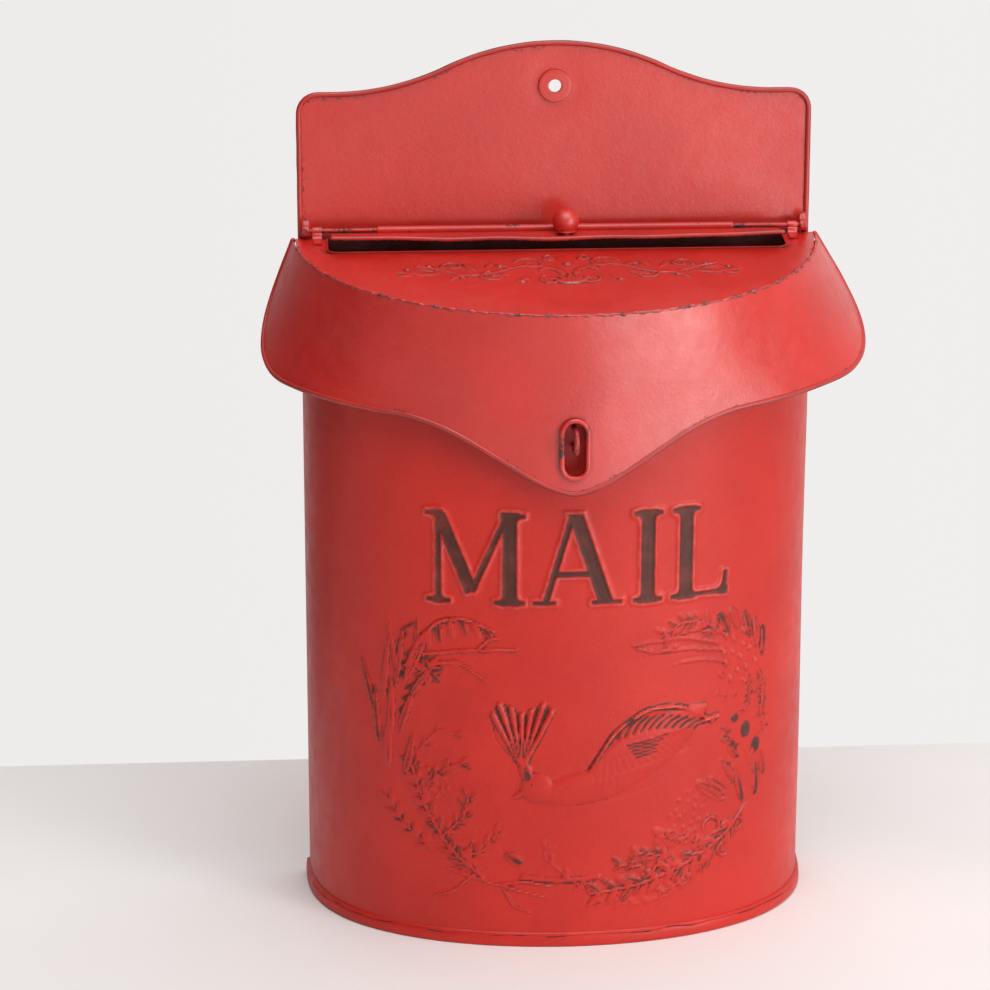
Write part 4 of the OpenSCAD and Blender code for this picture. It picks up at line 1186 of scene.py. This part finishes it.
def make_hinge():
    x = np.linspace(-108, 108, 90)
    x = x[np.abs(x) <= 106.2]
    path = np.stack([x, np.full(len(x), HINGE_Y), np.full(len(x), HINGE_Z)], 1)
    verts, faces = tube(path, 1.0, 16)
    piece("hinge_wire", verts, faces, "root", "wire_paint", WIRE, ["hinge_rod"],
          {"wear": 0.45 + 0.3 * ripple(verts[:, 0], 0, 18, 61)})
    # lugs: a strap end folded round the rod and soldered to the plate
    for name, side in (("left", -1), ("right", 1)):
        n, m = 26, 34
        across = np.linspace(-1, 1, n)
        ring = []
        for k in range(m):
            a = 2 * math.pi * k / m
            dy, dz = math.cos(a), math.sin(a)
            # an egg-shaped outline from the rod back to the plate and up it
            back = max(0.0, dy)
            up = max(0.0, dz)
            ring.append((dy * (2.45 + 3.9 * back ** 1.5), dz * (2.45 + 6.2 * up * back ** 0.8)))
        ring = np.array(ring)
        swell = (1 - np.abs(across) ** 3.2) ** 0.42
        verts = []
        for a, s in zip(across, swell):
            lump = 1 + 0.05 * ripple(ring[:, 0] * 2 + a * 3, ring[:, 1] * 2, 5, 63 + side)
            p = ring * (0.62 + 0.38 * s) * lump[:, None]
            y = np.minimum(HINGE_Y + p[:, 0], -PLATE_GAP)
            verts.append(np.stack([np.full(m, side * 104.7 + 1.7 * a), y, HINGE_Z + p[:, 1]], 1))
        faces = quads(n, m, wrap_m=True) + [list(range(m))[::-1], list(range((n - 1) * m, n * m))]
        verts = np.vstack(verts)
        wear = 0.45 + 0.4 * ripple(verts[:, 1] * 2, verts[:, 2] * 2, 8, 65)
        piece("rod_lug_" + name, verts, faces, "root", "wire_paint", WIRE, ["rod_bracket_" + name],
              {"wear": wear}, 50)
        # knuckle: a strap of the lid rolled round the rod
        at = hinge_frame(0)
        kx = side * 100.0
        line = resample(strap_line(), 0.5)
        d = unit(np.gradient(line, axis=0))
        nrm = np.stack([-d[:, 1], d[:, 0]], 1) * 0.32
        xs = kx + np.array([-2.0, -1.85, 1.85, 2.0])
        inset = np.array([0.8, 1.0, 1.0, 0.8])
        verts = []
        for xx, s in zip(xs, inset):
            side_view = np.vstack([line + nrm * s, (line - nrm * s)[::-1]])
            verts.append(at(xx, side_view[:, 0], side_view[:, 1]))
        m = len(side_view)
        half = m // 2
        faces = quads(4, m, wrap_m=True)
        for row, flip in ((0, False), (3, True)):
            for i in range(half - 1):
                q = [row * m + i, row * m + i + 1, row * m + m - 2 - i, row * m + m - 1 - i]
                faces.append(q if flip else q[::-1])
        verts = np.vstack(verts)
        piece("lid_strap_" + name, verts, faces, "lid", "lid_paint", LID, ["lid_knuckle_" + name],
              {"wear": np.full(len(verts), 0.4)}, 50)


def strap_line():
    """The lid strap's side view: round the rod from underneath, then down and forward onto the lid."""
    r = 1.40
    a = np.radians(np.linspace(-80, 180 + 40, 40))
    roll = np.stack([-r * np.cos(a), r * np.sin(a)], 1)[::-1]
    tail = np.array([(1.45, -0.9), (1.55, -1.9), (2.1, -2.95), (3.4, -3.55), (5.2, -3.85), (7.0, -4.1)])
    return np.vstack([roll[(roll[:, 0] < 1.36) | (roll[:, 1] > -0.4)], tail])


def make_flap():
    tilt = 4
    at = hinge_frame(tilt)
    # blade of the flap, pulled out of its sleeve and folded over a wire at its free edge
    length, half, sleeve = 14.5, 94.0, 75.0
    back, knob = 2.3, (3.5, 8.0)
    free, cut = length - 0.6, 1.1
    loop = chain(*runs([(-half, free), (half, free), (half, back), (sleeve, back), (sleeve, cut), (-sleeve, cut),
                        (-sleeve, back), (-half, back), (-half, free)], (3, 2, 3, 0.6, 3, 0.6, 3, 2)))
    inner = lattice([loop], 2.4, 1.1)

    def sag(x, y):
        """The free edge hangs a little lower in the middle and isn't quite straight."""
        return (0.35 * ripple(x, 0 * x, 60, 75) - 1.1 * (1 - (x / half) ** 2)) * smooth(y, 1.5, length)

    def bow(p):
        middle = smooth(p[:, 1], 2, 8) * smooth(length - p[:, 1], 0.5, 3)
        return sag(p[:, 0], p[:, 1]) + 0.15 * ripple(p[:, 0], p[:, 1] * 3, 70, 71) * middle

    top_z = -SLEEVE_R + 0.68
    verts, faces, flat = sheet([loop], inner, lambda p: at(p[:, 0], p[:, 1], top_z + bow(p)),
                               lambda p: at(p[:, 0], p[:, 1], top_z - 0.66 + bow(p)))
    wear = np.tile(0.35 * np.exp(-near(flat, [loop]) / 1.5), 2)
    piece("flap_blade", verts, faces, "flap", "flap_paint", FLAP, ["letter_flap"], {"wear": wear})
    # sleeve: the sheet rolled once round the rod, its cut edge left showing as a step
    t = np.radians(np.linspace(-84, 262, 40))
    step = np.linspace(0, 1, 40)
    around = np.stack([np.cos(t), np.sin(t)], 1)
    outer = (SLEEVE_R - 0.03 + 0.03 * step)[:, None] * around
    bore = (BORE_R + 0.01) * around[::-1]
    xs = np.concatenate([[-sleeve, -sleeve + 0.15], np.linspace(-sleeve + 1.2, sleeve - 1.2, 60),
                         [sleeve - 0.15, sleeve]])
    m = 2 * len(t)
    verts = []
    for i, xx in enumerate(xs):
        thin = 0.12 if i in (0, len(xs) - 1) else 0.0
        ring = np.vstack([outer * (1 - thin / SLEEVE_R), bore])
        verts.append(at(xx, ring[:, 0], ring[:, 1]))
    faces = quads(len(xs), m, wrap_m=True)
    for row in (0, len(xs) - 1):
        for i in range(len(t) - 1):
            faces.append([row * m + i, row * m + i + 1, row * m + m - 2 - i, row * m + m - 1 - i])
    verts = np.vstack(verts)
    wear = 0.2 + 0.25 * ripple(verts[:, 0], verts[:, 2] * 3, 16, 74)
    piece("flap_hinge_sleeve", verts, faces, "flap", "flap_paint", FLAP, ["flap_sleeve"], {"wear": wear}, 50)
    # hem: the sheet folded back under a wire, its underside painted darker as shade
    x = np.linspace(-half, half, 150)
    centre = at(x, np.full(150, length), -SLEEVE_R + 0.35 + sag(x, np.full(150, length)))
    verts, faces = tube(centre, 1.0 * (1 + 0.03 * ripple(x, 0 * x, 18, 76)), 16)
    wear = 0.15 + 0.9 * facing(verts, 16, (0, -0.2, -1)) ** 2
    piece("flap_rolled_hem", verts, faces, "flap", "wire_paint", WIRE, ["flap_hem_wire"], {"wear": wear})
    # ball knob on a small collar, held by a rivet
    axis = (0, math.sin(math.radians(tilt)), math.cos(math.radians(tilt)))
    foot = at(np.array(knob[0]), np.array(knob[1]), np.array(top_z))
    r = 5.6
    ang = np.radians(np.linspace(-46, 89, 30))
    profile = [(1.3, -0.02), (3.6, 0.0), (4.0, 0.2), (4.05, 0.5), (3.85, 0.8)]
    profile += [(r * math.cos(b), 4.75 + r * 0.985 * math.sin(b)) for b in ang]
    verts, faces = lathe(profile, foot, axis, 56)
    piece("ball_knob", verts, faces, "flap", "knob_paint", KNOB, ["flap_knob"])
    profile = [(1.15, 0.4), (1.15, -0.68), (2.25, -0.7), (2.3, -0.95), (1.9, -1.3), (1.1, -1.5), (0.2, -1.56)]
    verts, faces = lathe(profile, foot, axis, 28)
    piece("knob_rivet_head", verts, faces, "flap", "knob_paint", KNOB, ["knob_rivet"])


make_body()
make_back()
make_lid()
make_skirt()
make_hasp()
make_hinge()
make_flap()


# ---------------------------------------------------------------- stage, light, camera
def make_stage():
    n = Nodes("pale_floor")
    shade = n.mix(n.step(n.noise(5, 3, 0.5), 0.3, 0.7), srgb("f1eeed"), srgb("f6f3f2"))
    n.tree.links.new(shade, n.shader.inputs["Base Color"])
    n.shader.inputs["Roughness"].default_value = 0.7
    mesh = bpy.data.meshes.new("floor")
    back, far = 0.196, 6.0          # the floor ends behind the mailbox, and goes far to the other sides
    mesh.from_pydata([(-far, -far, 0), (far, -far, 0), (far, back, 0), (-far, back, 0)], [], [(0, 1, 2, 3)])
    floor = bpy.data.objects.new("floor", mesh)
    floor.data.materials.append(n.mat)
    bpy.context.scene.collection.objects.link(floor)

    wall = bpy.data.worlds.new("pale_room")
    bpy.context.scene.world = wall
    wall.use_nodes = True
    tree = wall.node_tree
    place = tree.nodes.new("ShaderNodeTexCoord")
    split = tree.nodes.new("ShaderNodeSeparateXYZ")
    ramp = tree.nodes.new("ShaderNodeValToRGB")
    scale = tree.nodes.new("ShaderNodeMapRange")
    scale.inputs["From Min"].default_value = -1
    tree.links.new(place.outputs["Generated"], split.inputs[0])
    tree.links.new(split.outputs["X"], scale.inputs["Value"])
    tree.links.new(scale.outputs[0], ramp.inputs[0])
    tree.links.new(ramp.outputs[0], tree.nodes["Background"].inputs["Color"])
    stops = ramp.color_ramp.elements
    stops[0].position, stops[0].color = 0.0, (0.10, 0.10, 0.105, 1)
    stops[1].position, stops[1].color = 1.0, (0.80, 0.785, 0.77, 1)
    for at, colour in ((0.25, (0.30, 0.295, 0.29, 1)), (0.38, (0.84, 0.82, 0.81, 1)),
                       (0.60, (0.88, 0.86, 0.85, 1))):
        stop = stops.new(at)
        stop.color = colour
    # the room in front of the mailbox is darker than the wall behind it
    depth = tree.nodes.new("ShaderNodeMapRange")
    depth.inputs["From Min"].default_value, depth.inputs["From Max"].default_value = -1.0, 0.6
    depth.inputs["To Min"].default_value, depth.inputs["To Max"].default_value = 0.25, 1.0
    tree.links.new(split.outputs["Y"], depth.inputs["Value"])
    tree.links.new(depth.outputs[0], tree.nodes["Background"].inputs["Strength"])

    def lamp(name, at, size, power, colour, target=(0, 0, 0.17)):
        data = bpy.data.lights.new(name, "AREA")
        data.shape, data.size, data.size_y = "RECTANGLE", size[0], size[1]
        data.energy, data.color = power, colour
        obj = bpy.data.objects.new(name, data)
        obj.location = at
        obj.rotation_mode = "QUATERNION"
        obj.rotation_quaternion = (Vector(target) - Vector(at)).to_track_quat("-Z", "Y")
        bpy.context.scene.collection.objects.link(obj)

    lamp("window", (1.10, -1.04, 0.50), (0.42, 0.95), 8.8, (1.0, 0.985, 0.965))
    lamp("low_window", (0.60, -1.25, 0.04), (0.7, 0.35), 3.6, (1.0, 0.985, 0.97), (0, 0, 0.25))
    lamp("ceiling", (0.1, -0.62, 1.5), (1.3, 1.1), 14, (1.0, 0.99, 0.98))

    # a long lens, a little to the left and looking down
    az, el, dist = math.radians(-4), math.radians(15.7), 1.4
    target = Vector((-0.03166, 0.00935, 0.18333))
    back_dir = Vector((math.sin(az) * math.cos(el), -math.cos(az) * math.cos(el), math.sin(el)))
    data = bpy.data.cameras.new("camera")
    data.sensor_width, data.lens = 36.0, 122.22
    camera = bpy.data.objects.new("camera", data)
    camera.location = target + back_dir * dist
    camera.rotation_mode = "QUATERNION"
    camera.rotation_quaternion = (-back_dir).to_track_quat("-Z", "Y")
    bpy.context.scene.collection.objects.link(camera)
    bpy.context.scene.camera = camera
    bpy.context.scene.view_settings.view_transform = "Standard"


make_stage()
